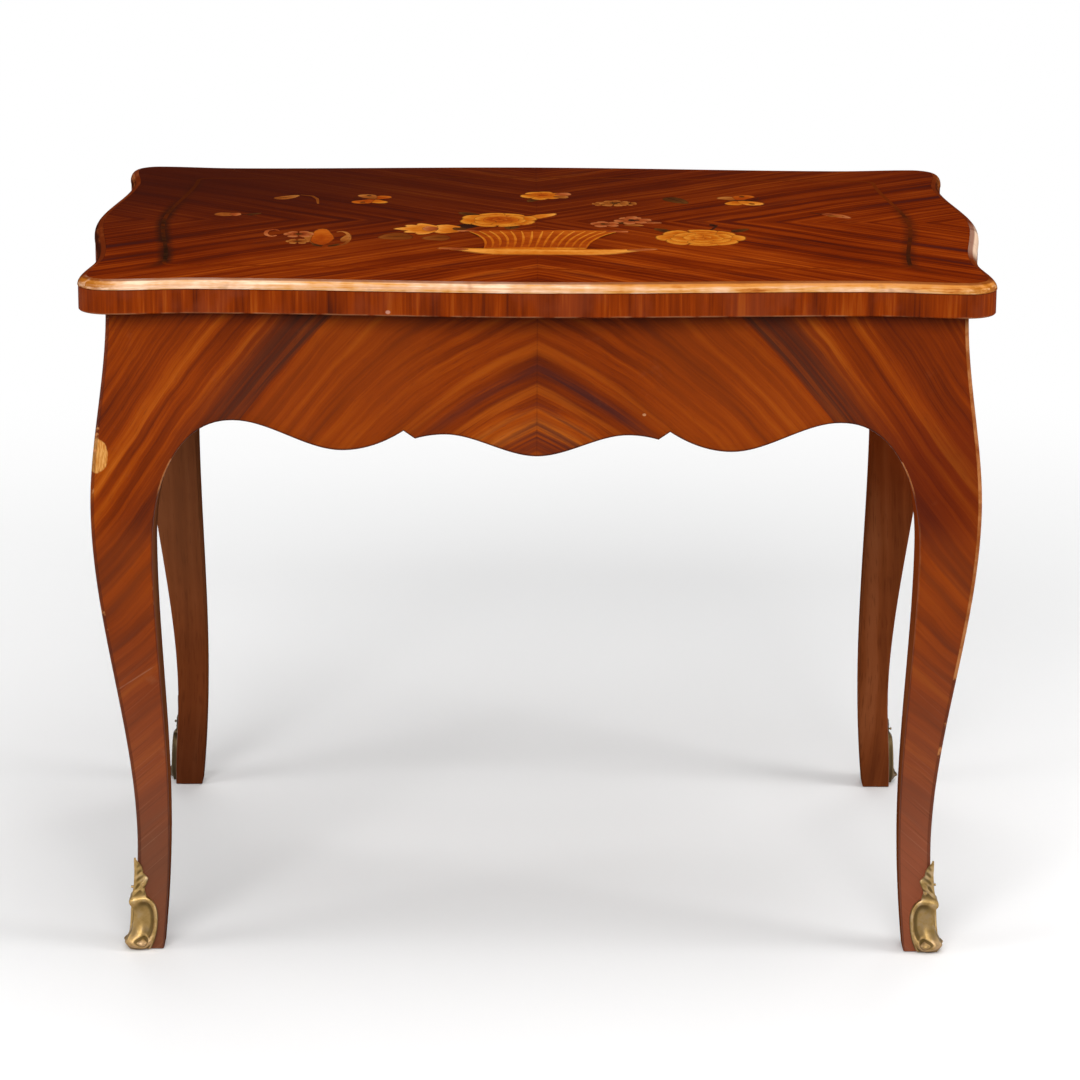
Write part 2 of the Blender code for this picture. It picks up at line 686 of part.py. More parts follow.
def build_frame():
    tenon_low = FRAME_TOP - TENON_DROP - TENON_HEIGHT - FIT_GAP
    tenon_high = FRAME_TOP - TENON_DROP + FIT_GAP
    reach = POST_WIDTH - TENON_LENGTH
    front = TENON_SETBACK - FIT_GAP
    back = TENON_SETBACK + TENON_THICKNESS + FIT_GAP
    tools = [
        block_cutter("mortise_x", (reach, front, tenon_low), (POST_WIDTH + 0.02, back, tenon_high)),
        block_cutter("mortise_y", (front, reach, tenon_low), (back, POST_WIDTH + 0.02, tenon_high)),
    ]
    for hole in pin_cutters():
        tools.append(hole)
    leg = combine(leg_mesh(), "DIFFERENCE", tools, "leg")
    for name, (x, y, turn) in CORNERS.items():
        place(add_object("leg_" + name, leg, finish="kingwood"), x, y, 0.0, turn)

    long_apron = apron_mesh("apron_long", HALF_W, True)
    short_apron = apron_mesh("apron_short", HALF_D, False)
    place(add_object("apron_front", long_apron, finish="kingwood"), 0.0, -HALF_D)
    place(add_object("apron_back", long_apron, finish="kingwood"), 0.0, HALF_D, 0.0, math.pi)
    place(add_object("apron_right", short_apron, finish="kingwood"), HALF_W, 0.0, 0.0, math.pi / 2)
    place(add_object("apron_left", short_apron, finish="kingwood"), -HALF_W, 0.0, 0.0, -math.pi / 2)

    near = APRON_THICKNESS + FIT_GAP
    post = POST_WIDTH + FIT_GAP
    loop = [(post, near), (BLOCK_REACH, near), (near, BLOCK_REACH), (near, post), (post, post)]
    low = FRAME_TOP - BLOCK_HEIGHT
    block = flat_solid("corner_block", [loop], low, FRAME_TOP)
    bore = add_object("screw_bore", turned("screw_bore", screw_profile(FIT_GAP), 12), CUTTERS)
    place(bore, screw_place(), screw_place(), low)
    block = combine(block, "DIFFERENCE", [bore], "corner_block")

    screw = turned("top_screw", screw_profile(0.0), 12)
    slot = block_cutter("slot", (-0.01, -SLOT_WIDTH / 2, -0.01), (0.01, SLOT_WIDTH / 2, SLOT_DEPTH))
    screw = combine(screw, "DIFFERENCE", [slot], "top_screw")
    for name, (x, y, turn) in CORNERS.items():
        place(add_object("corner_block_" + name, block, finish="core"), x, y, 0.0, turn)
        at = Matrix.Rotation(turn, 4, "Z") @ Vector((screw_place(), screw_place(), 0.0))
        place(add_object("top_screw_" + name, screw, finish="steel"), x + at.x, y + at.y, low, turn)


def pin_start(height):
    """Depth of the underside of a pin head, clear of the metal all round the head."""
    faces = []
    for angle in spread(0.0, 2.0 * math.pi, 8):
        u = PIN_FROM_ARRIS + PIN_HEAD_RADIUS * math.cos(angle)
        z = height + PIN_HEAD_RADIUS * math.sin(angle)
        faces.append(-leg_outer(z) - FIT_GAP - sabot_thickness(u, z))
    return min(faces) - FIT_GAP


def pin_along(height):
    return -leg_outer(height) - FIT_GAP + PIN_FROM_ARRIS


def across_the_corner(mesh):
    """Copy of a pin or a hole for the other face of the foot."""
    other = mesh.copy()
    other.transform(Matrix(((0, 1, 0, 0), (1, 0, 0, 0), (0, 0, 1, 0), (0, 0, 0, 1))))
    other.flip_normals()
    return other


def pin_hole(height):
    reach = PIN_RADIUS + FIT_GAP
    deep = -leg_outer(height) + PIN_BITE + FIT_GAP
    return turned("pin_hole", [(0.0, -deep), (reach, -deep), (reach, 0.05), (0.0, 0.05)], 8, "Y")


def pin_cutters():
    """Holes for the two pins of a foot, one above the other so that the pins pass each other."""
    low = PIN_HEIGHT - PIN_STAGGER
    first = add_object("pin_hole_a", pin_hole(PIN_HEIGHT), CUTTERS)
    second = add_object("pin_hole_b", across_the_corner(pin_hole(low)), CUTTERS)
    place(first, pin_along(PIN_HEIGHT), 0.0, PIN_HEIGHT)
    place(second, 0.0, pin_along(low), low)
    return [first, second]


def pin_mesh(height):
    start = pin_start(height)
    point = -leg_outer(height) + PIN_BITE
    dome = 0.62 * PIN_HEAD_RADIUS
    profile = [
        (0.0, -start + PIN_HEAD_RISE), (dome, -start + 0.8 * PIN_HEAD_RISE), (PIN_HEAD_RADIUS, -start),
        (PIN_RADIUS, -start), (PIN_RADIUS, -point + PIN_RADIUS), (0.0, -point),
    ]
    return turned("pin", profile, 8, "Y")


def build_mounts():
    sabot = combine(sabot_mesh(), "DIFFERENCE", pin_cutters(), "sabot")
    low = PIN_HEIGHT - PIN_STAGGER
    pins = [
        ("a", pin_mesh(PIN_HEIGHT), (pin_along(PIN_HEIGHT), 0.0, PIN_HEIGHT)),
        ("b", across_the_corner(pin_mesh(low)), (0.0, pin_along(low), low)),
    ]
    for name, (x, y, turn) in CORNERS.items():
        place(add_object("sabot_" + name, sabot, finish="bronze"), x, y, 0.0, turn)
        for label, mesh, spot in pins:
            at = Matrix.Rotation(turn, 4, "Z") @ Vector(spot)
            obj = add_object("sabot_pin_" + name + "_" + label, mesh, finish="bronze")
            place(obj, x + at.x, y + at.y, at.z, turn)


build_top()
build_frame()
build_mounts()
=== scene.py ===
# %% [markdown]
# A low side table in the French manner: a serpentine top with a flower basket in marquetry,
# scalloped aprons, square cabriole legs and gilt bronze mounts on the feet. The measured model is
# loaded first. Everything after it gives the table its fine shapes and its finishes.

# %% Load the measured table
import math
from contextlib import contextmanager

import bmesh
import bpy
from mathutils import Matrix, Vector


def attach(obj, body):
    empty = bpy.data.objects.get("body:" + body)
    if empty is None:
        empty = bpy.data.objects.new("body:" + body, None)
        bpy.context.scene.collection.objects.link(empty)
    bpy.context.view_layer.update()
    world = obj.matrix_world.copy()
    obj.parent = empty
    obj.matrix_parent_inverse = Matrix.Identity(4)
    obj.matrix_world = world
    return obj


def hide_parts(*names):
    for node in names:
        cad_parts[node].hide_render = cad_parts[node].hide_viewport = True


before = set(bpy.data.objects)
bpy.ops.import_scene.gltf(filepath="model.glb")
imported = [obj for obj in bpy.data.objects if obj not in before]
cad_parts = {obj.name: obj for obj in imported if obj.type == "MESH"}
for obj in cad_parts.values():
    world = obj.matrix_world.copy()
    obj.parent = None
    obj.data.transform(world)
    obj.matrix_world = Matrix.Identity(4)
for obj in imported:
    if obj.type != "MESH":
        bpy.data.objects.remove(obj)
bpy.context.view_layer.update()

# %% [markdown]
# The camera stands three metres off, a little above the top, with a long lens. A long lens keeps
# the legs nearly upright in the picture. It is set first, so that every later piece is seen from
# the same place.

# %% Camera
PICTURE_PIXELS, FOCAL_PIXELS, SENSOR_MM = 1080.0, 4125.2, 36.0
STAND, LOOK_DOWN, SWING, LEAN = (-0.01257, -3.01046, 1.07730), 0.26667, -0.00545, 0.00596
lens = bpy.data.cameras.new("table_camera")
lens.sensor_width = SENSOR_MM
lens.lens = FOCAL_PIXELS / PICTURE_PIXELS * SENSOR_MM
lens.clip_end = 60.0
camera = bpy.data.objects.new("table_camera", lens)
bpy.context.scene.collection.objects.link(camera)
camera.matrix_world = (
    Matrix.Translation(STAND)
    @ Matrix.Rotation(SWING, 4, "Z")
    @ Matrix.Rotation(math.pi / 2 - LOOK_DOWN, 4, "X")
    @ Matrix.Rotation(LEAN, 4, "Z")
)
bpy.context.scene.camera = camera
print("lens", round(lens.lens, 1), "mm")

# %% [markdown]
# The light is that of a studio with a white floor, a low white sweep and a dark ceiling. One broad
# panel hangs in front, one overhead, two stand at the sides and two light the back. Polished wood
# mirrors whatever is behind it, so the dark ceiling keeps the top deep red instead of milky.

# %% Lamps
def soft_lamp(name, place, aim, width, height, watts, mirrored=True):
    data = bpy.data.lights.new(name, "AREA")
    data.shape = "RECTANGLE"
    data.size, data.size_y, data.energy = width, height, watts
    lamp = bpy.data.objects.new(name, data)
    bpy.context.scene.collection.objects.link(lamp)
    lamp.location = place
    lamp.visible_glossy = mirrored
    lamp.rotation_euler = (Vector(aim) - Vector(place)).to_track_quat("-Z", "Y").to_euler()


soft_lamp("panel_front", (-0.4, -3.4, 2.3), (0.0, -0.1, 0.3), 3.0, 2.0, 118.0)
soft_lamp("panel_above", (0.5, -0.5, 3.2), (0.0, -0.1, 0.3), 2.6, 2.6, 44.0)
soft_lamp("panel_right", (2.6, -0.7, 1.1), (0.2, 0.0, 0.35), 1.2, 1.8, 34.0)
soft_lamp("panel_left", (-2.6, -0.9, 1.1), (-0.2, 0.0, 0.3), 1.2, 1.8, 22.0)
soft_lamp("panel_back", (0.3, 2.2, 3.4), (0.0, 0.1, 0.2), 2.4, 1.2, 30.0)
soft_lamp("panel_low_back", (-1.0, 3.0, 0.62), (0.0, 0.0, 0.30), 2.4, 0.7, 30.0, mirrored=False)
bpy.context.scene.view_settings.view_transform = "Standard"
print("lamps", len(bpy.data.lights))

# %% [markdown]
# Shader sums read best as sums. This small class holds one output socket. Adding, taking away or
# multiplying two of them puts a Math node in the tree, and one method makes any other node.

# %% Sums on sockets
class Tone:
    def __init__(self, tree, socket=None):
        self.tree, self.socket = tree, socket

    def node(self, kind, settings=None, sockets=None, out=0):
        """Any node. Its settings are set first, then its sockets are filled or linked."""
        made = self.tree.nodes.new("ShaderNode" + kind)
        for key, value in (settings or {}).items():
            if key == "stops":
                steps = made.color_ramp.elements
                while len(steps) < len(value):
                    steps.new(0.5)
                for step, (spot, colour) in zip(steps, value):
                    step.position, step.color = spot, (*colour, 1.0)
            else:
                setattr(made, key, value)
        for key, value in (sockets or {}).items():
            if isinstance(value, Tone):
                self.tree.links.new(value.socket, made.inputs[key])
            else:
                made.inputs[key].default_value = value
        return Tone(self.tree, made.outputs[out])

    def sum(self, way, other=0.0, third=0.0):
        return self.node("Math", {"operation": way}, {0: self, 1: other, 2: third})

    def __add__(self, other): return self.sum("ADD", other)
    def __mul__(self, other): return self.sum("MULTIPLY", other)
    def __sub__(self, other): return self.sum("SUBTRACT", other)
    def __truediv__(self, other): return self.sum("DIVIDE", other)
    def __rsub__(self, other): return self.sum("MULTIPLY_ADD", -1.0, other)
    def __abs__(self): return self.sum("ABSOLUTE")
    __radd__, __rmul__ = __add__, __mul__

    def between(self, start, end, kind="SMOOTHSTEP"):
        """0 at the start and 1 at the end. The start may be the larger of the two."""
        return self.node("MapRange", {"interpolation_type": kind}, {0: self, 1: start, 2: end})

    def ramp(self, stops):
        return self.node("ValToRGB", {"stops": stops}, {0: self})

    def lerp(self, first, second):
        return self.node("Mix", {"data_type": "FLOAT"}, {0: self, 2: first, 3: second})

    def paint(self, under, over):
        """The colour under, covered by the colour over where this value is 1."""
        under, over = ((*c, 1.0) if isinstance(c, tuple) else c for c in (under, over))
        settings = {"data_type": "RGBA", "clamp_factor": True}
        return self.node("Mix", settings, {0: self, 6: under, 7: over}, 2)


print("socket class ready")

# %% [markdown]
# Every finish starts alike: a Principled shader, the piece's own Object coordinates, and noise on
# them. It ends alike too: a colour, a roughness and a height go to the shader's sockets.

# %% Start and end of a finish
COAT_ROUGHNESS = 0.12


def vector(x, y, z):
    return x.node("CombineXYZ", {}, {0: x, 1: y, 2: z})


def cloud(place, scale, detail=2.0, rough=0.5):
    sockets = {"Vector": place, "Scale": scale, "Detail": detail, "Roughness": rough}
    return place.node("TexNoise", {}, sockets)


def new_finish(name, level=0.5, metal=0.0, coat=0.0):
    """A Principled material, with its Object coordinates split into x, y and z."""
    mat = bpy.data.materials.new(name)
    mat.use_nodes = True
    shader = mat.node_tree.nodes["Principled BSDF"]
    for socket, value in (("Metallic", metal), ("Specular IOR Level", level),
                          ("Coat Weight", coat), ("Coat Roughness", COAT_ROUGHNESS)):
        shader.inputs[socket].default_value = value
    start = Tone(mat.node_tree)
    place = start.node("TexCoord", {}, {}, 3)
    x, y, z = (start.node("SeparateXYZ", {}, {0: place}, k) for k in range(3))
    return mat, shader, place, x, y, z


def dress(shader, colour, rough, height=None, lift=0.0, strength=0.0, coat=None):
    """Feed a colour, a roughness, a height and a coat of polish to the shader's own sockets."""
    fed = {"Base Color": colour, "Roughness": rough, "Coat Weight": coat}
    if height is not None:
        sockets = {"Strength": strength, "Distance": lift, "Height": height}
        fed["Normal"] = height.node("Bump", {}, sockets)
    for socket, value in fed.items():
        if isinstance(value, Tone):
            colour.tree.links.new(value.socket, shader.inputs[socket])
        elif value is not None:
            shader.inputs[socket].default_value = value


print("finish helpers ready")

# %% [markdown]
# The floor near the table is a lit white surface, so it keeps the shadow. Farther out it turns
# into plain white. A Light Path node picks out camera, glossy and see-through rays: they meet
# white, while the light that bounces back to the table stays low.

# %% Floor and sweep
def white_stage(name, lit_out_to):
    mat, shader, place, x, y, z = new_finish(name, level=0.0)
    tree = mat.node_tree
    camera_ray, glossy_ray, clear_ray = (x.node("LightPath", {}, {}, k) for k in (0, 3, 6))
    seen = (camera_ray + glossy_ray + clear_ray).sum("MINIMUM", 1.0)
    white = cloud(place, 3.0).between(0.2, 0.8).paint((0.955, 0.955, 0.955), (0.965, 0.965, 0.965))
    dress(shader, seen.paint((0.40, 0.40, 0.40), white), 0.9)
    far = (x * x + y * y).sum("SQRT").between(lit_out_to, lit_out_to * 2.2 + 0.01)
    glow = far.node("Emission", {}, {"Strength": seen})
    mixed = far.node("MixShader", {}, {0: far, 1: Tone(tree, shader.outputs[0]), 2: glow})
    tree.links.new(mixed.socket, tree.nodes["Material Output"].inputs["Surface"])
    return mat


def start_piece(name, add, **sizes):
    """Add a primitive with nothing else selected, and name it."""
    bpy.ops.object.select_all(action="DESELECT")
    add(**sizes)
    bpy.context.object.name = name
    return bpy.context.object


def give(piece, *finishes):
    piece.data.materials.clear()
    for finish in finishes:
        piece.data.materials.append(finish)


floor = start_piece("pale_floor", bpy.ops.mesh.primitive_circle_add, vertices=96, radius=14.0,
                    fill_type="NGON", location=(0.0, 0.0, -0.0006))
give(floor, white_stage("pale_floor", 0.75))
sweep = start_piece("white_sweep", bpy.ops.mesh.primitive_cylinder_add, vertices=96, radius=13.9,
                    depth=1.8, end_fill_type="NOTHING", location=(0.0, 0.0, 0.9))
give(sweep, white_stage("white_sweep", 0.0))

world = bpy.data.worlds.new("studio")
bpy.context.scene.world = world
world.use_nodes = True
ceiling = world.node_tree.nodes["Background"]
ceiling.inputs["Color"].default_value = (1.0, 1.0, 1.0, 1.0)
ceiling.inputs["Strength"].default_value = 0.03
print("floor and sweep ready")

# %% [markdown]
# Kingwood is a small dense tree with strong stripes, red-brown to violet-brown, sawn into thin
# sheets. The stripe pattern is noise that is squeezed across the grain and stretched along it, in
# three sizes: broad bands, streaks and hair lines. Short dark pores lie along the grain.

# %% Grain of kingwood
def fibres(x, y, z, detail=2.0, rough=0.5):
    """Noise on coordinates that were squeezed and stretched beforehand."""
    return cloud(vector(x, y, z), 1.0, detail, rough)


def stray(place, scale, detail, reach):
    """Noise about zero, for lines that wander."""
    return (cloud(place, scale, detail) - 0.5) * reach


def coats(colour, *layers):
    """Paint (mask, tone) layers over a colour, one after the other."""
    for mask, tone in layers:
        colour = mask.paint(colour, tone)
    return colour


def even_stops(*colours):
    return [(k / (len(colours) - 1), colour) for k, colour in enumerate(colours)]


def kingwood(across, along, place, seed, stops, violet_share):
    """Colour, height and pores for a grain whose two directions are given in metres."""
    line = across + (stray(place, 7.0, 1.0, 0.016) + stray(place, 30.0, 1.0, 0.004))
    band = fibres(line * 42.0, along * 1.5, seed, 2.0, 0.6)
    streak = fibres(line * 170.0, along * 4.0, seed + 3.1, 3.0, 0.6)
    hair = fibres(line * 900.0, along * 14.0, seed + 5.7)
    pore = fibres(line * 2600.0, along * 80.0, seed + 9.0, 1.0).between(0.60, 0.74)
    tone = band * 0.62 + streak * 0.46 + hair * 0.16 + stray(place, 11.0, 2.0, 0.22)
    violet = (streak * 0.42 + band * 0.58).between(0.43, 0.33) * violet_share
    colour = coats(
        tone.between(0.44, 0.80, "LINEAR").ramp(stops),
        (violet, (0.060, 0.011, 0.008)),
        (pore * 0.40, (0.030, 0.007, 0.004)),
    )
    return colour, hair * 0.35 + streak * 0.4 - pore * 0.5, pore


side_stops = even_stops((0.075, 0.010, 0.002), (0.155, 0.020, 0.001), (0.245, 0.033, 0.001),
                        (0.335, 0.056, 0.002), (0.450, 0.098, 0.006))
top_stops = even_stops((0.045, 0.005, 0.001), (0.105, 0.010, 0.001), (0.172, 0.018, 0.001),
                       (0.255, 0.034, 0.002), (0.370, 0.066, 0.004))
print("grain ready")

# %% [markdown]
# In the middle of the apron dark and bright flames cross the sheets, heavier on one side, as in
# any veneer that was picked by hand. They follow the flow of the grain and fade towards the legs.
# A darker sheet begins there with a sharp line and fades outwards.

# %% Flames in the veneer
DARK_FLAME, BRIGHT_FLAME = (0.058, 0.012, 0.009), (0.390, 0.078, 0.004)
flame_marks = [  # place in the flow, half width, share, tone
    (0.4358, 0.0068, 0.90, DARK_FLAME), (0.4200, 0.0060, 0.90, BRIGHT_FLAME),
    (0.4090, 0.0032, 0.60, DARK_FLAME), (0.4040, 0.0030, 0.25, BRIGHT_FLAME),
    (0.3895, 0.0165, 0.80, DARK_FLAME), (0.4510, 0.0070, 0.75, BRIGHT_FLAME),
]


def flames(colour, place, x, out, flow, on_leg):
    drift = flow + stray(place, 9.0, 2.0, 0.010)
    broken = fibres(flow * 260.0, out * 9.0, 7.0, 3.0, 0.6).between(0.30, 0.62)
    inside = broken * (1.0 - out.between(0.04, 0.15) * 0.80)
    right = x.between(-0.03, 0.01)
    for middle, half, share, mark in flame_marks:
        mask = abs(drift - middle).between(half, half * 0.35) * inside * share
        weight = right.lerp(0.60, 1.0) if mark is DARK_FLAME else right.lerp(1.0, 0.75)
        colour = (mask * weight).paint(colour, mark)
    calm = out.between(0.05, 0.10) * flow.between(0.577, 0.570) * 0.38
    sheet = (flow + stray(place, 60.0, 2.0, 0.0016)).between(0.5762, 0.5780)
    sheet = sheet * drift.between(0.640, 0.588) * broken.sum("MAXIMUM", 0.60)
    return coats(
        colour,
        (calm, (0.262, 0.044, 0.003)),
        (sheet * on_leg.lerp(0.90, 0.50), (0.064, 0.017, 0.008)),
    )


print("flames", len(flame_marks))

# %% [markdown]
# The legs have aged apart from the apron. The right shoulder is darker, the shins are brighter,
# and near the floor the polish has gone grey-brown from cleaning, with long scratches and scuffs.

# %% Tones of the legs
def to_right(x):
    """0 on the left half of the table, 1 on the right half."""
    return x.between(-0.1, 0.1)


def to_left(x):
    return x.between(0.1, -0.1)


def leg_tones(colour, place, x, z, out, flow):
    shoulder = z.between(0.30, 0.38) * 0.22
    shoulder = shoulder + z.between(0.285, 0.325) * z.between(0.420, 0.375) * 0.42
    shin = out.between(0.262, 0.275) * z.between(0.245, 0.275) * z.between(0.335, 0.305)
    low, ankle = z.between(0.31, 0.05), z.between(0.14, 0.06)
    scratch = fibres(flow * 1100.0, out * 12.0, 3.0)
    scuff = cloud(place, 42.0, 4.0, 0.65).between(0.62, 0.78) * (low * 0.35 + 0.10)
    return coats(
        colour,
        (shoulder * x.between(0.20, 0.27), (0.105, 0.010, 0.002)),
        (shin * 0.28, (0.330, 0.058, 0.006)),
        (low * 0.66, (0.235, 0.079, 0.042)),
        (ankle * to_left(x) * 0.45, (0.110, 0.055, 0.032)),
        (ankle * to_right(x) * 0.45, (0.300, 0.087, 0.042)),
        (scratch.between(0.62, 0.72) * low * 0.32, (0.400, 0.190, 0.110)),
        (scratch.between(0.40, 0.28) * low * 0.60, (0.085, 0.028, 0.015)),
        (scuff, (0.330, 0.120, 0.050)),
    )


print("leg tones ready")

# %% [markdown]
# Old damage tells the front from the back. A flake of veneer is missing on the left knee and shows
# the pale wood below, a thin slip has lifted on the left leg, and a speck is gone from the apron.
# On the arrises the colour is rubbed through to honey, most of all on the right leg, where a
# painted highlight is added, as by the arch. The other arrises and the aprons' lower bevel carry
# painted shade.

# %% Old damage, rubbed arrises and painted light
def to_front(y):
    return y.between(0.0, -0.1)


def blot(x, z, at_x, at_z, wide, high):
    """Squared distance from a spot, counted in its half width and half height."""
    across, up = abs(x - at_x) / wide, abs(z - at_z) / high
    return across * across + up * up


def old_damage(colour, place, x, y, z, out):
    flake = blot(x, z, -0.3070, 0.3735, 0.0082, 0.0122) + stray(place, 160.0, 2.0, 0.7)
    below = fibres(x * 900.0, y * 900.0, z * 160.0).between(0.35, 0.65)
    below = below.paint((0.580, 0.205, 0.034), (0.740, 0.360, 0.098))
    slip = abs(z + out * 0.69 - 0.4042).between(0.0008, 0.0003) * x.between(0.0, -0.1)
    slip = slip * cloud(place, 70.0, 2.0).between(0.3, 0.5) * 0.36
    speck = blot(x, z, 0.0749, 0.4040, 0.0014, 0.0010).between(1.2, 0.5) * 0.8
    front = to_front(y)
    return coats(
        colour,
        (flake.between(1.0, 0.8) * front, below),
        (slip * front, (0.400, 0.200, 0.110)),
        (speck * front, (0.560, 0.270, 0.120)),
    )


def rubbed_arris_and_painted_light(colour, place, x, y, z, out):
    worn = cloud(place, 95.0, 3.0, 0.6)
    right = x.between(0.20, 0.28) * to_front(y) * z.between(0.17, 0.29)
    bare = (worn + right * 0.40).between(0.62, 0.70) * out.between(0.266, 0.280)
    bare = bare * z.between(0.085, 0.110) * 0.85
    arch = out.between(0.236, 0.250) * out.between(0.280, 0.266)
    arch = arch * z.between(0.342, 0.356) * z.between(0.388, 0.378)
    honey = worn.between(0.35, 0.65).paint((0.330, 0.090, 0.016), (0.560, 0.220, 0.070))
    return coats(
        colour,
        # painted shade on every arris but the right front one
        (0.45 - right * 0.45, (0.050, 0.013, 0.007)),
        # honey wear, with a painted highlight on the right front leg and by the arch
        (bare + arch * worn.between(0.3, 0.5) * 0.7, honey),
    )


print("wear ready")

# %% [markdown]
# On the aprons the sheets are laid as a chevron that meets at the middle, and the slope steepens
# towards the legs. On the legs it goes on downwards and eases again. The whole drawing is one
# function of the distance from the middle and the height, so no joint shows at the shoulders.

# %% Chevron veneer
HALF_W, HALF_D = 0.300, 0.207


def chevron(name, sideways, seed, rubbed=False):
    mat, shader, place, x, y, z = new_finish(name, level=0.03, coat=0.06)
    out = abs(y) + (HALF_W - HALF_D) if sideways else abs(x)
    on_leg = out.between(0.236, 0.266)
    on_apron_flow = out * 0.47 + out * out * 1.87
    on_leg_flow = (out - 0.28) * z.between(0.16, 0.40).lerp(0.90, 1.50) + 0.278
    flow = z + on_leg.lerp(on_apron_flow, on_leg_flow)
    colour, height, pore = kingwood(flow * 0.66, out - z * 0.6, place, seed, side_stops, 0.65)
    colour = flames(colour, place, x, out, flow, on_leg)
    if not sideways:
        colour = (out.between(0.0007, 0.0002) * 0.22).paint(colour, (0.030, 0.006, 0.003))
    colour = leg_tones(colour, place, x, z, out, flow)
    if not sideways:
        colour = old_damage(colour, place, x, y, z, out)
    # Painted darker along the lower edge of the aprons.
    edge = place.node("Attribute", {"attribute_name": "edge"}, {}, 2).between(0.78, 0.93)
    colour = (edge * 0.75).paint(colour, (0.032, 0.008, 0.004))
    if rubbed:
        colour = rubbed_arris_and_painted_light(colour, place, x, y, z, out)
    rough = cloud(place, 12.0, 3.0).between(0.2, 0.8).lerp(0.30, 0.44) + pore * 0.12
    dress(shader, colour, rough, height, 0.00012, 0.35)
    return mat


veneer_front = chevron("chevron_veneer_front", False, 0.0)
veneer_side = chevron("chevron_veneer_side", True, 4.0)
veneer_arris = chevron("chevron_veneer_arris", False, 0.0, True)
print("chevron veneer ready")

# %% [markdown]
# Inside faces were never veneered. They are plain beech, stained brown to go with the rest, with
# upright grain on the legs and level grain behind the aprons. Under the top the board is bare.

# %% Stained and bare carcass wood
def plain_wood(name, upright, stops, rough_low, rough_high):
    mat, shader, place, x, y, z = new_finish(name, level=0.0)
    across, along = (x + y, z) if upright else (z + y, x)
    ring = fibres((across + stray(place, 9.0, 2.0, 0.012)) * 90.0, along * 2.4, 1.0, 3.0)
    fleck = fibres(across * 800.0, along * 60.0, 6.0, 1.0).between(0.56, 0.70)
    tone = ring * 0.8 + cloud(place, 14.0, 3.0) * 0.4
    colour = (fleck * 0.4).paint(tone.between(0.36, 0.84, "LINEAR").ramp(stops), stops[0][1])
    if upright:
        colour = coats(
            colour,
            (z.between(0.12, 0.01) * to_left(x).lerp(0.10, 0.65), (0.050, 0.012, 0.005)),
            (z.between(0.20, 0.34) * to_right(x) * 0.60, (0.330, 0.042, 0.004)),
            (z.between(0.08, 0.24) * to_left(x) * 0.45, (0.190, 0.075, 0.032)),
        )
    rough = cloud(place, 20.0, 2.0).lerp(rough_low, rough_high)
    dress(shader, colour, rough, ring * 0.5 - fleck * 0.4, 0.00015, 0.4)
    return mat


stain_stops = even_stops((0.090, 0.020, 0.006), (0.215, 0.052, 0.014), (0.310, 0.092, 0.032))
bare_stops = even_stops((0.150, 0.078, 0.034), (0.270, 0.155, 0.072), (0.370, 0.230, 0.115))
stained_leg = plain_wood("stained_leg_inside", True, stain_stops, 0.36, 0.52)
stained_apron = plain_wood("stained_apron_inside", False, stain_stops, 0.45, 0.60)
bare_board = plain_wood("bare_board", False, bare_stops, 0.62, 0.75)
print("carcass woods ready")

# %% [markdown]
# The curves of the frame are written once, from the same named sizes as the measured model: how
# far a leg stands out at each height, where its inner side lies, and the arch under the aprons.

# %% Curves of the leg and the arch
TABLE_TOP, FRAME_TOP = 0.5000, 0.4757
SPRING, ARCH_TOP, ARCH_RUN, FULLNESS = 0.2997, 0.3987, 0.0575, 2.25
POST, KNEE_IN, ANKLE_IN, FOOT_IN, ANKLE_IN_HEIGHT = 0.045, 0.0305, 0.0368, 0.0313, 0.105
ANKLE_OUT_HEIGHT, KNEE_OUT_HEIGHT = 0.080, 0.3347
outer_knots = [
    (0.0, -0.0100), (ANKLE_OUT_HEIGHT, -0.0133), (KNEE_OUT_HEIGHT, 0.0124), (FRAME_TOP, 0.0),
]


def spread(start, end, count):
    return [start + (end - start) * k / count for k in range(count + 1)]


def ease(t):
    t = min(1.0, max(0.0, t))
    return t * t * (3.0 - 2.0 * t)


def through(value, knots):
    """Smooth curve through (position, size) knots, level at each knot."""
    for (start, first), (end, second) in zip(knots, knots[1:]):
        if value <= end:
            return first + (second - first) * ease((value - start) / (end - start))
    return knots[-1][1]


def leg_outer(z):
    return through(z, outer_knots)


def arch_rise(inward):
    share = min(1.0, max(0.0, 1.0 - (inward - KNEE_IN) / ARCH_RUN))
    return SPRING + (ARCH_TOP - SPRING) * (1.0 - share ** FULLNESS) ** (1.0 / FULLNESS)


POST_FOOT = arch_rise(POST)


def leg_inner(z):
    if z <= ANKLE_IN_HEIGHT:
        return ANKLE_IN - (ANKLE_IN - FOOT_IN) * (1.0 - z / ANKLE_IN_HEIGHT) ** 2
    if z <= SPRING:
        return through(z, [(ANKLE_IN_HEIGHT, ANKLE_IN), (SPRING, KNEE_IN)])
    if z >= POST_FOOT:
        return POST
    rise = (z - SPRING) / (ARCH_TOP - SPRING)
    return KNEE_IN + ARCH_RUN * (1.0 - (1.0 - rise ** FULLNESS) ** (1.0 / FULLNESS))


print("arch meets the post at", round(POST_FOOT, 4))

# %% [markdown]
# A leg could be carved from a block with a knife, but it is easier to grow it. A small square is
# drawn at the floor and extruded upwards level by level. After each step the new end is moved and
# scaled to the leg's section at that height, so both outer sides swell and hollow together.

# %% Grow one leg
def open_piece(piece):
    bpy.ops.object.select_all(action="DESELECT")
    piece.select_set(True)
    bpy.context.view_layer.objects.active = piece
    bpy.ops.object.mode_set(mode="EDIT")
    return bmesh.from_edit_mesh(piece.data)


def extrude(x, y, z):
    bpy.ops.mesh.extrude_region_move(TRANSFORM_OT_translate={"value": (x, y, z)})


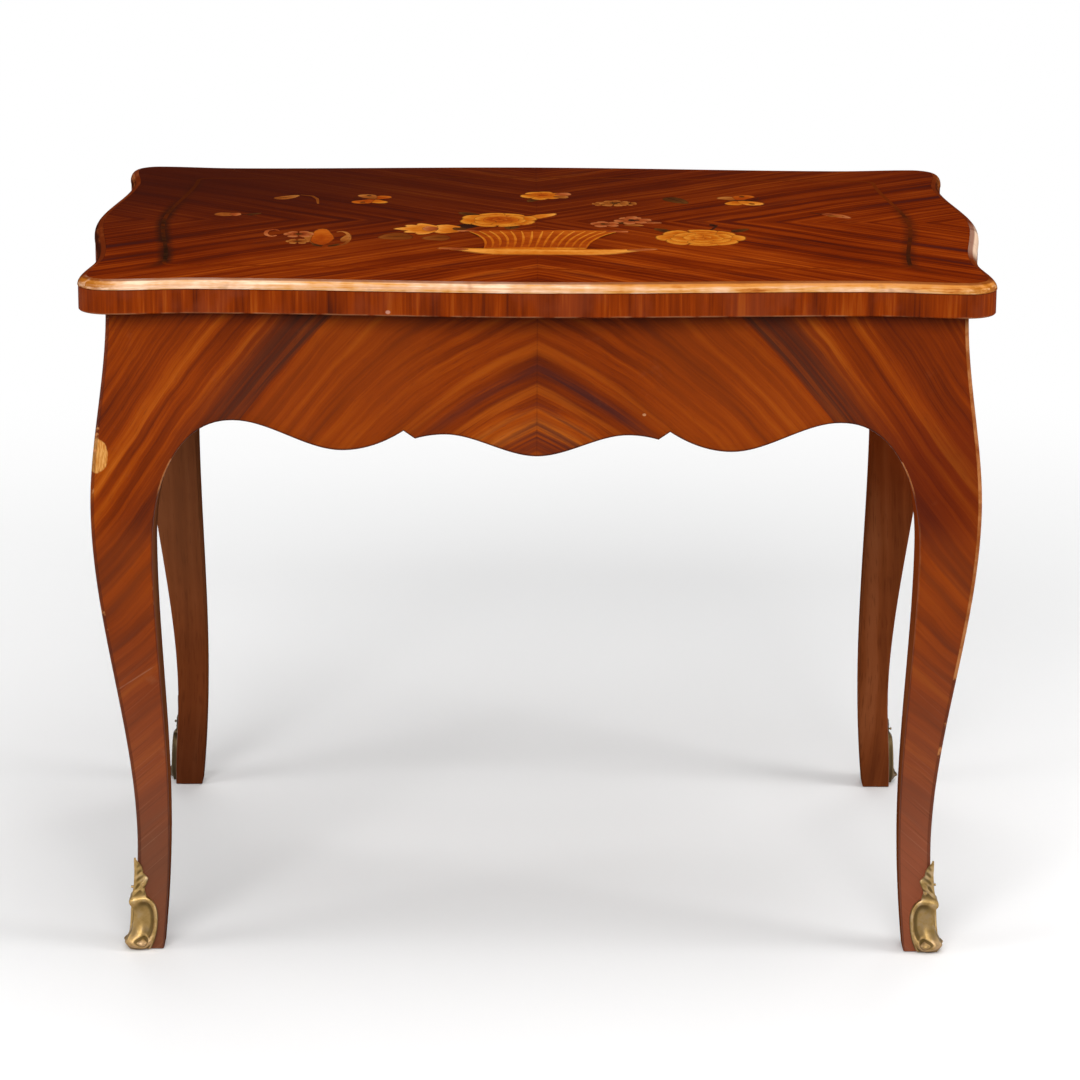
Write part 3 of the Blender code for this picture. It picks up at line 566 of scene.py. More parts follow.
leg_levels = spread(0.0, ANKLE_OUT_HEIGHT, 10) + spread(ANKLE_OUT_HEIGHT, SPRING, 28)[1:]
leg_levels += spread(SPRING, POST_FOOT, 16)[1:] + spread(POST_FOOT, FRAME_TOP, 14)[1:]
near, far = -leg_outer(0.0), leg_inner(0.0)
leg_blank = start_piece("leg_blank", bpy.ops.mesh.primitive_plane_add, size=far - near,
                        location=((near + far) / 2, (near + far) / 2, 0.0))
bpy.ops.object.transform_apply(location=True, rotation=True, scale=True)
open_piece(leg_blank)
bpy.ops.mesh.select_all(action="SELECT")
for here, above in zip(leg_levels, leg_levels[1:]):
    next_near, next_far = -leg_outer(above), leg_inner(above)
    shift = (next_near + next_far - near - far) / 2
    extrude(shift, shift, above - here)
    grow, middle = (next_far - next_near) / (far - near), (next_near + next_far) / 2
    bpy.ops.transform.resize(value=(grow, grow, 1.0), center_override=(middle, middle, above))
    near, far = next_near, next_far
print("leg grown through", len(leg_levels), "levels")

# %% [markdown]
# The front arris of a cabriole leg is rubbed round by two centuries of skirts and brooms. It gets
# a three-step bevel. The arrises beside the arch are softened less, and the post above the arch
# stays square, because the apron meets it there without a line.

# %% Soften the arrises
FRONT_ROUND, BESIDE_ROUND, SAME_PLACE = 0.0028, 0.0011, 2e-5


def pick_edges(test):
    """Select the edges of the open piece that pass a test."""
    bpy.ops.mesh.select_mode(type="EDGE")
    bpy.ops.mesh.select_all(action="DESELECT")
    for edge in bmesh.from_edit_mesh(bpy.context.object.data).edges:
        if test(edge):
            edge.select_set(True)
    bmesh.update_edit_mesh(bpy.context.object.data)


def soften(width, steps):
    bpy.ops.mesh.bevel(offset=width, offset_type="OFFSET", segments=steps, affect="EDGES")


def close_piece(angle=0.6, turn_out=True):
    """Turn the faces outward, shade them smooth up to an angle, and count the open edges."""
    bpy.ops.mesh.select_mode(type="VERT")
    bpy.ops.mesh.select_all(action="SELECT")
    if turn_out:
        bpy.ops.mesh.normals_make_consistent(inside=False)
    bpy.ops.object.mode_set(mode="OBJECT")
    bpy.ops.object.shade_smooth_by_angle(angle=angle)
    piece = bpy.context.object
    mesh = bmesh.new()
    mesh.from_mesh(piece.data)
    open_edges = sum(not edge.is_manifold for edge in mesh.edges)
    print(piece.name, len(mesh.faces), "faces,", open_edges, "open edges")
    mesh.free()


def minus_outer(z):
    return -leg_outer(z)


def on_line(edge, x_of, y_of, top):
    return all(
        max(abs(v.co.x - x_of(v.co.z)), abs(v.co.y - y_of(v.co.z))) < SAME_PLACE and v.co.z < top
        for v in edge.verts
    )


beside = ((minus_outer, leg_inner), (leg_inner, minus_outer), (leg_inner, leg_inner))
pick_edges(lambda edge: on_line(edge, minus_outer, minus_outer, TABLE_TOP))
soften(FRONT_ROUND, 3)
pick_edges(lambda edge: any(on_line(edge, *line, POST_FOOT + 1e-5) for line in beside))
soften(BESIDE_ROUND, 2)
close_piece()

# %% [markdown]
# The same leg stands at all four corners, turned by a quarter each time. Each copy gets its own
# mesh. Its faces are then sorted by the way they look: outer faces take the veneer of the front
# or of the sides, inner faces the stained beech, and the rubbed arris a worn veneer.

# %% Four legs
FRONT, SIDE, INSIDE, ARRIS = range(4)
LEVEL, TURNED = 0.9, 0.2  # shares of a face's normal
corners = {
    "front_left": (-HALF_W, -HALF_D, 0.0), "front_right": (HALF_W, -HALF_D, math.pi / 2),
    "back_right": (HALF_W, HALF_D, math.pi), "back_left": (-HALF_W, HALF_D, -math.pi / 2),
}


def stand_copy(blank, name, x, y, turn):
    piece = bpy.data.objects.new(name, blank.data.copy())
    bpy.context.scene.collection.objects.link(piece)
    piece.data.transform(Matrix.Translation((x, y, 0.0)) @ Matrix.Rotation(turn, 4, "Z"))
    piece.data.name = name
    return piece


def settle(piece, nodes):
    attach(piece, "root")
    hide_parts(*nodes)


for corner, (x, y, turn) in corners.items():
    leg = stand_copy(leg_blank, "cabriole_leg_" + corner, x, y, turn)
    give(leg, veneer_front, veneer_side, stained_leg, veneer_arris)
    for face in leg.data.polygons:
        to_x, to_y = face.normal.x * math.copysign(1, x), face.normal.y * math.copysign(1, y)
        if abs(face.normal.z) > LEVEL:
            face.material_index = INSIDE
        elif abs(to_x) > TURNED and to_y > TURNED:
            face.material_index = ARRIS
        elif abs(to_y) >= abs(to_x):
            face.material_index = FRONT if to_y > 0 else INSIDE
        else:
            face.material_index = SIDE if to_x > 0 else INSIDE
    settle(leg, ["leg_" + corner])
bpy.data.objects.remove(leg_blank)
print("legs standing")

# %% [markdown]
# An apron is a thin board bowed like the top of the legs, with a scalloped lower edge. From the
# middle outwards the edge has a deep lobe, a small step, a second lobe, and then the arch.

# %% Scalloped edge
CENTRE, HUMP, POINT, TIP, LOBE = (
    FRAME_TOP - drop for drop in (0.1012, 0.0862, 0.0892, 0.0838, 0.0975))
LONG_SHARES, SHORT_SHARES = (0.302, 0.401, 0.439, 0.642), (0.43, 0.57, 0.625, 1.0)


def scallop(half, lobed):
    """Lower edge from the middle to the post, as (distance, height) points."""
    span = half - KNEE_IN - ARCH_RUN
    hump_at, point_at, tip_at, lobe_at = (
        span * share for share in (LONG_SHARES if lobed else SHORT_SHARES))
    edge = [(x, through(x, [(0.0, CENTRE), (hump_at, HUMP)])) for x in spread(0.0, hump_at, 20)]
    for share in spread(0.0, 1.0, 8)[1:]:
        edge.append((hump_at + (point_at - hump_at) * share, HUMP + (POINT - HUMP) * share ** 2))
    if lobed:
        for share in spread(0.0, 1.0, 14):
            drop = (TIP - LOBE) * (1.0 - share) ** 2
            edge.append((tip_at + (lobe_at - tip_at) * share, LOBE + drop))
        knots, rest = [(lobe_at, LOBE), (span, ARCH_TOP)], spread(lobe_at, span, 18)[1:]
    else:
        knots, rest = [(tip_at, TIP), (span, ARCH_TOP)], spread(tip_at, span, 14)
    edge += [(x, through(x, knots)) for x in rest]
    for share in spread(0.0, 1.0, 16)[1:]:
        x = span + (half - POST - span) * math.sin(share * math.pi / 2)
        edge.append((x, arch_rise(half - x)))
    return edge


print("scallop points", len(scallop(HALF_W, True)))

# %% [markdown]
# A flat grid has one column for each point of the scallop, so its vertices can simply be slid onto
# the bowed face. The face is then extruded to the depth of the board, and the lower edge is
# softened. The long and the short apron are each modelled once and used twice.

# %% Aprons
APRON_DEEP, APRON_ROWS, LOWER_ROUND = 0.020, 12, 0.0007
OUTSIDE, BEHIND, BELOW = range(3)
BACK_TURN, DOWN_TURN = 0.25, -0.3


def start_grid(name, columns, rows):
    """An open grid of unit size, whose vertices are slid into place afterwards."""
    return open_piece(start_piece(name, bpy.ops.mesh.primitive_grid_add, size=1.0,
                                  x_subdivisions=columns, y_subdivisions=rows))


def take_all_faces():
    bpy.ops.mesh.select_mode(type="FACE")
    bpy.ops.mesh.select_all(action="SELECT")


def model_apron(name, half, lobed):
    right = scallop(half, lobed)
    stations = [(-x, z) for x, z in reversed(right[1:])] + right
    columns = len(stations) - 1
    mesh = start_grid(name, columns, APRON_ROWS)
    lower = {vert.index for vert in mesh.verts if vert.co.y < -0.499}
    edge_mark = mesh.verts.layers.float.new("edge")
    for vert in mesh.verts:
        vert[edge_mark] = 1.0 if vert.index in lower else 0.0
        x, foot = stations[round((vert.co.x + 0.5) * columns)]
        z = foot + (FRAME_TOP - foot) * (vert.co.y + 0.5)
        vert.co = (x, -leg_outer(z), z)
    pick_edges(lambda edge: all(vert.index in lower for vert in edge.verts))
    bpy.ops.mesh.mark_seam()
    take_all_faces()
    extrude(0.0, APRON_DEEP, 0.0)
    for vert in bmesh.from_edit_mesh(bpy.context.object.data).verts:
        if vert.select:
            vert.co.y = APRON_DEEP
    pick_edges(lambda edge: edge.seam)
    soften(LOWER_ROUND, 2)
    close_piece(0.7)
    return bpy.context.object


long_blank = model_apron("apron_long_blank", HALF_W, True)
short_blank = model_apron("apron_short_blank", HALF_D, False)
for side, blank, x, y, turn in (
    ("front", long_blank, 0.0, -HALF_D, 0.0), ("back", long_blank, 0.0, HALF_D, math.pi),
    ("right", short_blank, HALF_W, 0.0, math.pi / 2),
    ("left", short_blank, -HALF_W, 0.0, -math.pi / 2),
):
    apron = stand_copy(blank, "scalloped_apron_" + side, x, y, turn)
    give(apron, veneer_front if blank is long_blank else veneer_side, stained_apron, veneer_arris)
    outward = Vector((x, y, 0.0)).normalized()
    for face in apron.data.polygons:
        facing = face.normal.dot(outward)
        outer = BELOW if face.normal.z < DOWN_TURN else OUTSIDE
        face.material_index = BEHIND if facing < BACK_TURN else outer
    settle(apron, ["apron_" + side])
bpy.data.objects.remove(long_blank)
bpy.data.objects.remove(short_blank)

# %% [markdown]
# The outline of the top is a serpentine: each side bulges in the middle, draws in to a notch and
# swings out to a round ear. It is written as one quarter and mirrored twice. Any line parallel to
# the rim, such as the dark stringing, comes from the same function with an inset.

# %% Serpentine outline
OVERHANG, EAR, EAR_STEPS, SIDE_BULGE, FRONT_BULGE = 0.019, 0.022, 12, 0.007, 0.004
NOTCH, NOTCH_FROM_EAR = 0.006, 0.082


def serpentine(inset, corner, eared=True):
    """Outline drawn in from the rim, with the places of its four mitres."""
    ear_x, ear_y = HALF_W + OVERHANG - inset, HALF_D + OVERHANG - inset
    if eared:
        turn_x, turn_y = ear_x - corner, ear_y - corner
        notch_x, notch_y = (half + OVERHANG - NOTCH_FROM_EAR for half in (HALF_W, HALF_D))
        side = [(0.0, ear_x + SIDE_BULGE), (notch_y, ear_x - NOTCH), (turn_y, ear_x)]
        front = [(0.0, ear_y + FRONT_BULGE), (notch_x, ear_y - NOTCH), (turn_x, ear_y)]
        up = spread(0.0, notch_y, 18) + spread(notch_y, turn_y, 14)[1:]
        along = spread(turn_x, notch_x, 14)[1:] + spread(notch_x, 0.0, 24)[1:]
    else:
        turn_x, turn_y = ear_x - NOTCH - corner, ear_y - NOTCH - corner
        side = [(0.0, ear_x + SIDE_BULGE), (turn_y, turn_x + corner)]
        front = [(0.0, ear_y + FRONT_BULGE), (turn_x, turn_y + corner)]
        up, along = spread(0.0, turn_y, 20), spread(turn_x, 0.0, 26)[1:]
    quarter = [(through(y, side), y) for y in up]
    mitre = len(quarter) + EAR_STEPS // 2 - 1
    for angle in spread(0.0, math.pi / 2, EAR_STEPS)[1:]:
        quarter.append((turn_x + corner * math.cos(angle), turn_y + corner * math.sin(angle)))
    quarter += [(x, through(x, front)) for x in along]
    loop = quarter[:-1] + [(-x, y) for x, y in reversed(quarter[1:])]
    loop += [(-x, -y) for x, y in loop]
    step = len(quarter) - 1
    return loop, [mitre, 2 * step - mitre, 2 * step + mitre, 4 * step - mitre]


def side_run(outline, side):
    """The points of one side of an outline, from mitre to mitre, anticlockwise."""
    loop, mitres = outline
    first = ("back", "left", "front", "right").index(side)
    start, end = mitres[first], mitres[(first + 1) % 4]
    end += len(loop) if end < start else 0
    return [loop[k % len(loop)] for k in range(start, end + 1)]


print("rim points", len(serpentine(0.0, EAR)[0]))

# %% [markdown]
# The lip of the rim is a paler wood that has lost its polish. Its honey and cream along the front
# are partly a painted highlight, where the round catches the light. It is painted warmer at the
# right, the back and the ears, and dull along the sides.

# %% Worn lip with a painted highlight
LIP_FOOT, LIP_GROOVE = 0.4934, 0.4962
lip_and_highlight_stops = [
    (0.00, (0.280, 0.060, 0.010)), (0.18, (0.540, 0.170, 0.026)), (0.38, (0.720, 0.330, 0.090)),
    (0.60, (0.760, 0.410, 0.200)), (0.80, (0.860, 0.520, 0.320)), (1.00, (0.960, 0.680, 0.460)),
]
dull_stops = even_stops((0.045, 0.009, 0.004), (0.110, 0.022, 0.006), (0.330, 0.090, 0.020))


def worn_lip_with_highlight(x, y, z, run, depth, sideways):
    """Colour of the lip, with its long and its fine grain and its painted highlight."""
    grain = fibres(run * 14.0, z * 480.0, depth * 14.0, 4.0, 0.62)
    patch = fibres(run * 34.0, 5.0, depth * 34.0, 3.0, 0.6)
    fine = fibres(run * 160.0, z * 900.0, depth * 160.0)
    spot = fibres(run * 120.0, z * 260.0, depth * 120.0, 3.0, 0.6).between(0.34, 0.62)
    gap = fibres(run * 26.0, 9.0, z * 40.0, 3.0, 0.6).between(0.60, 0.68)
    right, far = x.between(-0.02, 0.12), y.between(-0.1, 0.1)
    upper, end = z.between(LIP_GROOVE, 0.4984), abs(x).between(0.282, 0.312)
    tone = grain * 1.5 + patch * 1.2 + fine * 0.4 - 0.98
    warm = right * 0.20 + end * spot.lerp(0.0, 0.30) + far * 0.24
    groove = abs(z - LIP_GROOVE).between(0.0009, 0.0002) * (1.0 - right) * grain.between(0.42, 0.58)
    lip = coats(
        (tone - warm).between(0.05, 0.80, "LINEAR").ramp(lip_and_highlight_stops),
        (upper * right * patch.between(0.25, 0.45).lerp(0.35, 0.85), (0.620, 0.225, 0.038)),
        (end * spot.lerp(0.10, 1.00), (0.400, 0.125, 0.012)),
        (groove * 0.55, (0.560, 0.250, 0.120)),
        (gap * 0.60, (0.380, 0.150, 0.070)),
    )
    # Along the sides the lip is darker, without the painted highlight of the front; the middle of the
    # right side and the back ears keep pale spots of wear with a painted highlight.
    if sideways:
        bulge_wear_and_highlight = abs(y + 0.064).between(0.075, 0.030) * x.between(0.0, 0.1)
        ear = to_right(x).paint((0.300, 0.110, 0.055), (0.430, 0.140, 0.030))
        dull = coats(
            tone.between(0.40, 0.85, "LINEAR").ramp(dull_stops),
            (bulge_wear_and_highlight * patch.between(0.28, 0.42), (0.800, 0.560, 0.400)),
            (y.between(0.168, 0.186) * spot.lerp(0.75, 0.15), ear),
        )
        lip = y.between(-0.216, -0.200).paint(lip, dull)
    return (z.between(0.4986, 0.4994) * 0.75).paint(lip, (0.150, 0.022, 0.004)), grain, fine


print("lip ready")

# %% [markdown]
# Below the lip the rim is cross-banded: short strips of veneer with upright grain. A dark joint
# line, deepened by painted shadow under the lip, parts the two, the lower corner is rubbed pale,
# and one chip is gone from the front.

# %% Worn rim
band_stops = [
    (0.00, (0.060, 0.010, 0.004)), (0.30, (0.160, 0.020, 0.002)),
    (0.65, (0.270, 0.036, 0.002)), (1.00, (0.420, 0.088, 0.008)),
]


def rim_wood(name, sideways):
    mat, shader, place, x, y, z = new_finish(name, level=0.0, coat=0.05)
    run, depth = (y, x) if sideways else (x, y)
    ragged = z + stray(place, 40.0, 2.0, 0.0009)
    fine = fibres(run * 420.0, z * 14.0, 4.0, 3.0, 0.6)
    tone = fibres(run * 75.0, z * 6.0, 2.0) * 0.65 + fine * 0.45
    lip, lip_grain, lip_fine = worn_lip_with_highlight(x, y, z, run, depth, sideways)
    # Dark joint line under the lip, partly painted shadow.
    line = ragged.between(0.49260, 0.49290) * ragged.between(0.49345, 0.49330)
    rub = ragged.between(0.4774, 0.4764) * cloud(place, 60.0, 3.0).between(0.35, 0.55)
    blotch = cloud(place, 34.0, 3.0).between(0.46, 0.66) * z.between(LIP_FOOT, 0.4930)
    chip = blot(x, z, -0.1032, 0.4788, 0.0018, 0.0014).between(1.2, 0.5) * to_front(y) * 0.8
    colour = coats(
        tone.between(0.34, 0.74, "LINEAR").ramp(band_stops),
        (ragged.between(0.49325, 0.49345), lip),
        (line * 0.6, (0.040, 0.008, 0.004)),
        (rub * 0.7, (0.480, 0.190, 0.080)),
        (blotch * 0.40, (0.240, 0.046, 0.016)),
        (chip, (0.600, 0.290, 0.200)),
    )
    polish = (1.0 - z.between(0.4930, 0.4936) * (1.0 if sideways else 0.3)) * 0.05
    height = fine * 0.3 + lip_fine * 0.3 - chip
    dress(shader, colour, lip_grain.lerp(0.30, 0.50), height, 0.00012, 0.4, polish)
    return mat


rim_front = rim_wood("cross_banded_rim_front", False)
rim_side = rim_wood("cross_banded_rim_side", True)
print("rim wood ready")

# %% [markdown]
# Each side of the rim is one moulded strip from mitre to mitre. Its section is a closed line: up
# the face, a tiny step below the lip, the quarter round, and back underneath. A grid with one row
# for each point of the section is wrapped round it, its seam is merged and its ends are filled.

# %% Rim strips
SIDES = ("front", "back", "left", "right")
LIP, STRIP, RIM_LOW, BOARD_HIGH = 0.0065, 0.012, 0.476, 0.4987
section = [(0.0010, RIM_LOW), (0.0004, RIM_LOW + 0.0007), (0.0004, 0.4930), (0.0, LIP_FOOT)]
for angle in spread(0.0, math.pi / 2, 10):
    section.append((LIP * (1.0 - math.cos(angle)), TABLE_TOP - LIP * (1.0 - math.sin(angle))))
section += [(LIP, BOARD_HIGH), (STRIP, BOARD_HIGH), (STRIP, RIM_LOW), section[0]]


def model_rim(side):
    runs = [side_run(serpentine(inset, EAR - inset), side) for inset, z in section]
    columns, rows = len(runs[0]) - 1, len(section) - 1
    for vert in start_grid("rim_strip_" + side, columns, rows).verts:
        row = round((vert.co.y + 0.5) * rows)
        x, y = runs[row][round((vert.co.x + 0.5) * columns)]
        vert.co = (x, y, section[row][1])
    bpy.ops.mesh.select_all(action="SELECT")
    bpy.ops.mesh.remove_doubles(threshold=1e-6)
    bpy.ops.mesh.fill_holes(sides=0)
    close_piece(0.5)
    return bpy.context.object


for side in SIDES:
    rim = model_rim(side)
    give(rim, rim_front if side in ("front", "back") else rim_side)
    settle(rim, ["top_edge_" + side])

# %% [markdown]
# The top is laid in four matching quarters, so that the stripes run out from the middle to the
# corners. The back is darker than the front, and the left half is darkened further by painted
# shade. Smoke-brown shading follows the stringing along the sides.

# %% Quartered top veneer
QUARTER_SEED, QUARTER_TILT = 11.0, 0.66


def quartered(name):
    mat, shader, place, x, y, z = new_finish(name, level=0.0, coat=0.08)
    wide, deep = abs(x), abs(y)
    across = deep * math.cos(QUARTER_TILT) - wide * math.sin(QUARTER_TILT)
    along = deep * math.sin(QUARTER_TILT) + wide * math.cos(QUARTER_TILT)
    colour, height, pore = kingwood(
        across * 1.5, along * 1.3, place, QUARTER_SEED, top_stops, 0.85)
    # Darker towards the back; the extra darkening on the left is painted shade, away from the light.
    shade = (y - x.between(0.0, 0.25) * 0.12).between(-0.20, 0.15)
    shade = shade * x.between(-0.28, 0.25).lerp(0.80, 0.44) + x.between(0.10, -0.20) * 0.12
    line_x = deep.between(0.161, 0.0) * 0.013 + 0.2625 + deep.between(0.158, 0.200) * 0.022
    smoke = abs(wide - line_x).between(0.0080, 0.0012) * deep.between(0.194, 0.152)
    smoke = smoke * cloud(place, 28.0, 4.0, 0.6).between(0.20, 0.55)
    smoke = smoke * (1.0 - y.between(0.0, 0.10) * to_right(x).lerp(0.72, 0.94))
    seam = wide.between(0.0006, 0.0002).sum("MAXIMUM", deep.between(0.0006, 0.0002))
    smudge = fibres(along * 9.0, across * 34.0, 2.0, 3.0, 0.6).between(0.54, 0.72)
    wear = cloud(place, 30.0, 5.0, 0.7).between(0.64, 0.82)
    colour = coats(
        colour,
        (shade, (0.045, 0.007, 0.003)),
        (smoke * to_right(x).lerp(0.92, 0.55), (0.026, 0.007, 0.003)),
        (seam * 0.15, (0.020, 0.004, 0.003)),
        (smudge * 0.45, (0.046, 0.007, 0.004)),
        (wear * 0.22, (0.230, 0.060, 0.022)),
    )
    rough = cloud(place, 9.0, 4.0, 0.6).between(0.25, 0.75).lerp(0.09, 0.15) + pore * 0.04
    dress(shader, colour, rough, height, 0.00010, 0.08)
    return mat


field_wood = quartered("quartered_field")
border_wood = quartered("quartered_border")
print("top veneer ready")

# %% [markdown]
# The sheets of the top are flat pieces with a drawn outline. A circle is added with as many points
# as the outline has, its points are slid onto the outline, and the flat face is extruded to the
# thickness of the veneer. The same helper will cut every petal of the marquetry later.

# %% Field and border sheets
VENEER_LOW, LINE_INSET, LINE_WIDTH, LINE_CORNER, RIM_CLEAR = 0.499, 0.049, 0.0030, 0.010, 0.00015


def new_piece(name):
    piece = bpy.data.objects.new(name, bpy.data.meshes.new(name))
    bpy.context.scene.collection.objects.link(piece)
    return piece


def lay_ring(points, low, fill):
    """Add a circle to the open piece and slide its ring onto an outline. Its hub goes between."""
    bpy.ops.mesh.select_mode(type="VERT")
    bpy.ops.mesh.select_all(action="DESELECT")
    bpy.ops.mesh.primitive_circle_add(
        vertices=len(points), radius=1.0, fill_type=fill, location=(0, 0, 0))
    mesh = bmesh.from_edit_mesh(bpy.context.object.data)
    ring = [vert for vert in mesh.verts if vert.select and vert.co.length > 0.5]
    ring.sort(key=lambda vert: math.atan2(vert.co.y, vert.co.x))
    hub = [vert for vert in mesh.verts if vert.select and vert.co.length <= 0.5]
    for vert, (x, y) in zip(ring, points):
        vert.co = (x, y, low)
    for vert in hub:
        vert.co = (*(sum(values) / len(points) for values in zip(*points)), low)


def cut_sheet(points, low, high, fill="NGON"):
    """Add a flat outline to the open piece and give it thickness. The new top stays selected."""
    lay_ring(points, low, fill)
    bpy.ops.mesh.select_mode(type="FACE")
    extrude(0.0, 0.0, high - low)
    return bmesh.from_edit_mesh(bpy.context.object.data)


def lay_sheet(name, points, finish, node):
    sheet = new_piece(name)
    open_piece(sheet)
    cut_sheet(points, VENEER_LOW, TABLE_TOP)
    close_piece()
    give(sheet, finish)
    settle(sheet, [node])


rim_line = serpentine(LIP + RIM_CLEAR, EAR - LIP)
string_outer = serpentine(LINE_INSET, LINE_CORNER, False)
string_inner = serpentine(LINE_INSET + LINE_WIDTH, LINE_CORNER - LINE_WIDTH, False)
for side in SIDES:
    outline = side_run(rim_line, side) + side_run(string_outer, side)[::-1]
    lay_sheet("border_sheet_" + side, outline, border_wood, "border_veneer_" + side)
inner_loop = string_inner[0] + string_inner[0][:1]
quarter = len(string_inner[0]) // 4
for k, corner in enumerate(("back_right", "back_left", "front_left", "front_right")):
    outline = inner_loop[k * quarter:(k + 1) * quarter + 1] + [(0.0, 0.0)]
    lay_sheet("field_sheet_" + corner, outline, field_wood, "field_veneer_" + corner)

# %% [markdown]
# The dark stringing is a thin line of blackened wood let in between field and border. Two edge
# loops are bridged into a flat ring, and the ring is extruded like the sheets. At the front and
# the back the line has faded into the veneer beside it.

# %% Stringing
def ebonised(name):
    mat, shader, place, x, y, z = new_finish(name, level=0.0, coat=0.06)
    grain = cloud(place, 160.0, 3.0)
    faded = cloud(place, 18.0, 3.0, 0.6).between(0.40, 0.62) * 0.65 + to_right(x) * 0.30
    at_back = y.between(-0.01, 0.09) * to_right(x).lerp(0.75, 0.97)
    lost = abs(y).between(0.146, 0.170).sum("MAXIMUM", at_back)
    # The faded parts copy the top beside them, its painted shade on the left included.
    veneer = to_right(x).paint((0.070, 0.011, 0.002), (0.125, 0.018, 0.002))
    veneer = y.between(-0.16, 0.16).paint((0.165, 0.019, 0.001), veneer)
    veneer = (abs(y).between(0.176, 0.150) * to_front(y)).paint(veneer, (0.060, 0.010, 0.002))
    black = grain.between(0.3, 0.7).paint((0.016, 0.005, 0.002), (0.040, 0.012, 0.004))
    colour = faded.sum("MAXIMUM", lost).paint(black, veneer)
    dress(shader, colour, grain.lerp(0.32, 0.50), grain, 0.00008, 0.4)
    return mat


line_piece = new_piece("dark_stringing")
open_piece(line_piece)
for loop in (string_outer[0], string_inner[0]):
    half = len(loop) // 2
    lay_ring(loop[half:] + loop[:half], VENEER_LOW, "NOTHING")
bpy.ops.mesh.select_all(action="SELECT")
bpy.ops.mesh.bridge_edge_loops()
bpy.ops.mesh.select_all(action="SELECT")
extrude(0.0, 0.0, TABLE_TOP - VENEER_LOW)
close_piece()
give(line_piece, ebonised("ebonised_stringing"))
settle(line_piece, ["stringing"])

# %% [markdown]
# Marquetry is a picture in wood. Sheets of box, satinwood, tulipwood and stained holly are sawn
# petal by petal, and each petal is dipped in hot sand so that its root goes brown. The finish here
# reads that from the piece itself: one value runs from root to tip, another from middle to kerf.

# %% Inlay woods
KERF = (0.070, 0.014, 0.004)
BOX, SATIN, TAN, ROSE, OLIVE, DARK, HOLLY, FADED = range(8)
wood_tones = [  # name, then the tones of root, body and tip
    ("boxwood", (0.290, 0.042, 0.003), (0.490, 0.112, 0.005), (0.640, 0.225, 0.020)),
    ("satinwood", (0.215, 0.025, 0.002), (0.345, 0.054, 0.003), (0.490, 0.108, 0.007)),
    ("tan", (0.165, 0.034, 0.005), (0.300, 0.078, 0.011), (0.430, 0.145, 0.027)),
    ("rose", (0.185, 0.027, 0.006), (0.340, 0.070, 0.015), (0.480, 0.145, 0.042)),
    ("olive", (0.042, 0.011, 0.003), (0.076, 0.022, 0.004), (0.115, 0.036, 0.006)),
    ("dark", (0.022, 0.006, 0.003), (0.032, 0.009, 0.004), (0.050, 0.014, 0.005)),
    ("holly", (0.400, 0.092, 0.006), (0.580, 0.158, 0.011), (0.740, 0.290, 0.042)),
    ("faded_green", (0.130, 0.026, 0.003), (0.185, 0.041, 0.005), (0.235, 0.060, 0.008)),
]


def inlay_wood(name, root, body, tip):
    mat, shader, place, x, y, z = new_finish(name, level=0.0, coat=0.10)
    uv = place.node("UVMap", {"uv_map": "cut"})
    reach, edge = (uv.node("SeparateXYZ", {}, {0: uv}, k) for k in (0, 1))
    grain = cloud(place, 240.0, 3.0, 0.6)
    mottle = cloud(place, 60.0, 2.0)
    tone = reach * 0.75 + edge * 0.25 + (grain - 0.5) * 0.45 + (mottle - 0.5) * 0.80
    colour = tone.ramp([(0.05, root), (0.50, body), (0.92, tip)])
    colour = (edge.between(0.90, 0.98) * 0.75).paint(colour, KERF)
    height = grain * 0.4 - edge.between(0.93, 1.0)
    dress(shader, colour, mottle.lerp(0.12, 0.22), height, 0.00008, 0.15)
    return mat


inlay_woods = [inlay_wood(name + "_inlay", *tones) for name, *tones in wood_tones]
print("inlay woods", len(inlay_woods))

# %% [markdown]
# Every petal starts as a circle with a hub. Its ring is pulled into a petal: longer than wide,
# fuller towards one end, sometimes bent. Each new cut lies a hundredth of a millimetre above the
# last one, so overlapping petals read as they would in the real sheet. The picture is drawn in
# millimetres from the middle of the top.

# %% Cuts, petals and ribbons
MM, PETAL_POINTS = 0.001, 18
INLAY_LOW, FIRST_CUT, CUT_STEP = 0.4996, 0.00006, 0.00001
stack = {"cuts": 0}


def inlay_cut(points, wood, root, tip, fill="TRIFAN"):
    """Cut one piece of wood. Its outline is turned anticlockwise, so that its top faces up."""
    stack["cuts"] += 1
    if sum(x * b - a * y for (x, y), (a, b) in zip(points, points[1:] + points[:1])) < 0.0:
        points = points[::-1]
    top = TABLE_TOP + FIRST_CUT + CUT_STEP * stack["cuts"]
    mesh = cut_sheet([(x * MM, y * MM) for x, y in points], INLAY_LOW, top, fill)
    uv = mesh.loops.layers.uv["cut"]
    root, axis = Vector(root) * MM, (Vector(tip) - Vector(root)) * MM
    for face in [face for face in mesh.faces if face.select]:
        for vert in face.verts:
            for beside in vert.link_faces:
                beside.material_index = wood
        for corner in face.loops:
            hub = sum(beside.select for beside in corner.vert.link_faces) == len(points)
            edge = 0.0 if hub else (1.0 if fill == "TRIFAN" else 0.6)
            corner[uv].uv = ((corner.vert.co.xy - root).dot(axis) / axis.length_squared, edge)


def walk(at, heading, along, across=0.0):
    """The point reached by going along a heading, and then across to its left."""
    return (at[0] + along * math.cos(heading) - across * math.sin(heading),
            at[1] + along * math.sin(heading) + across * math.cos(heading))


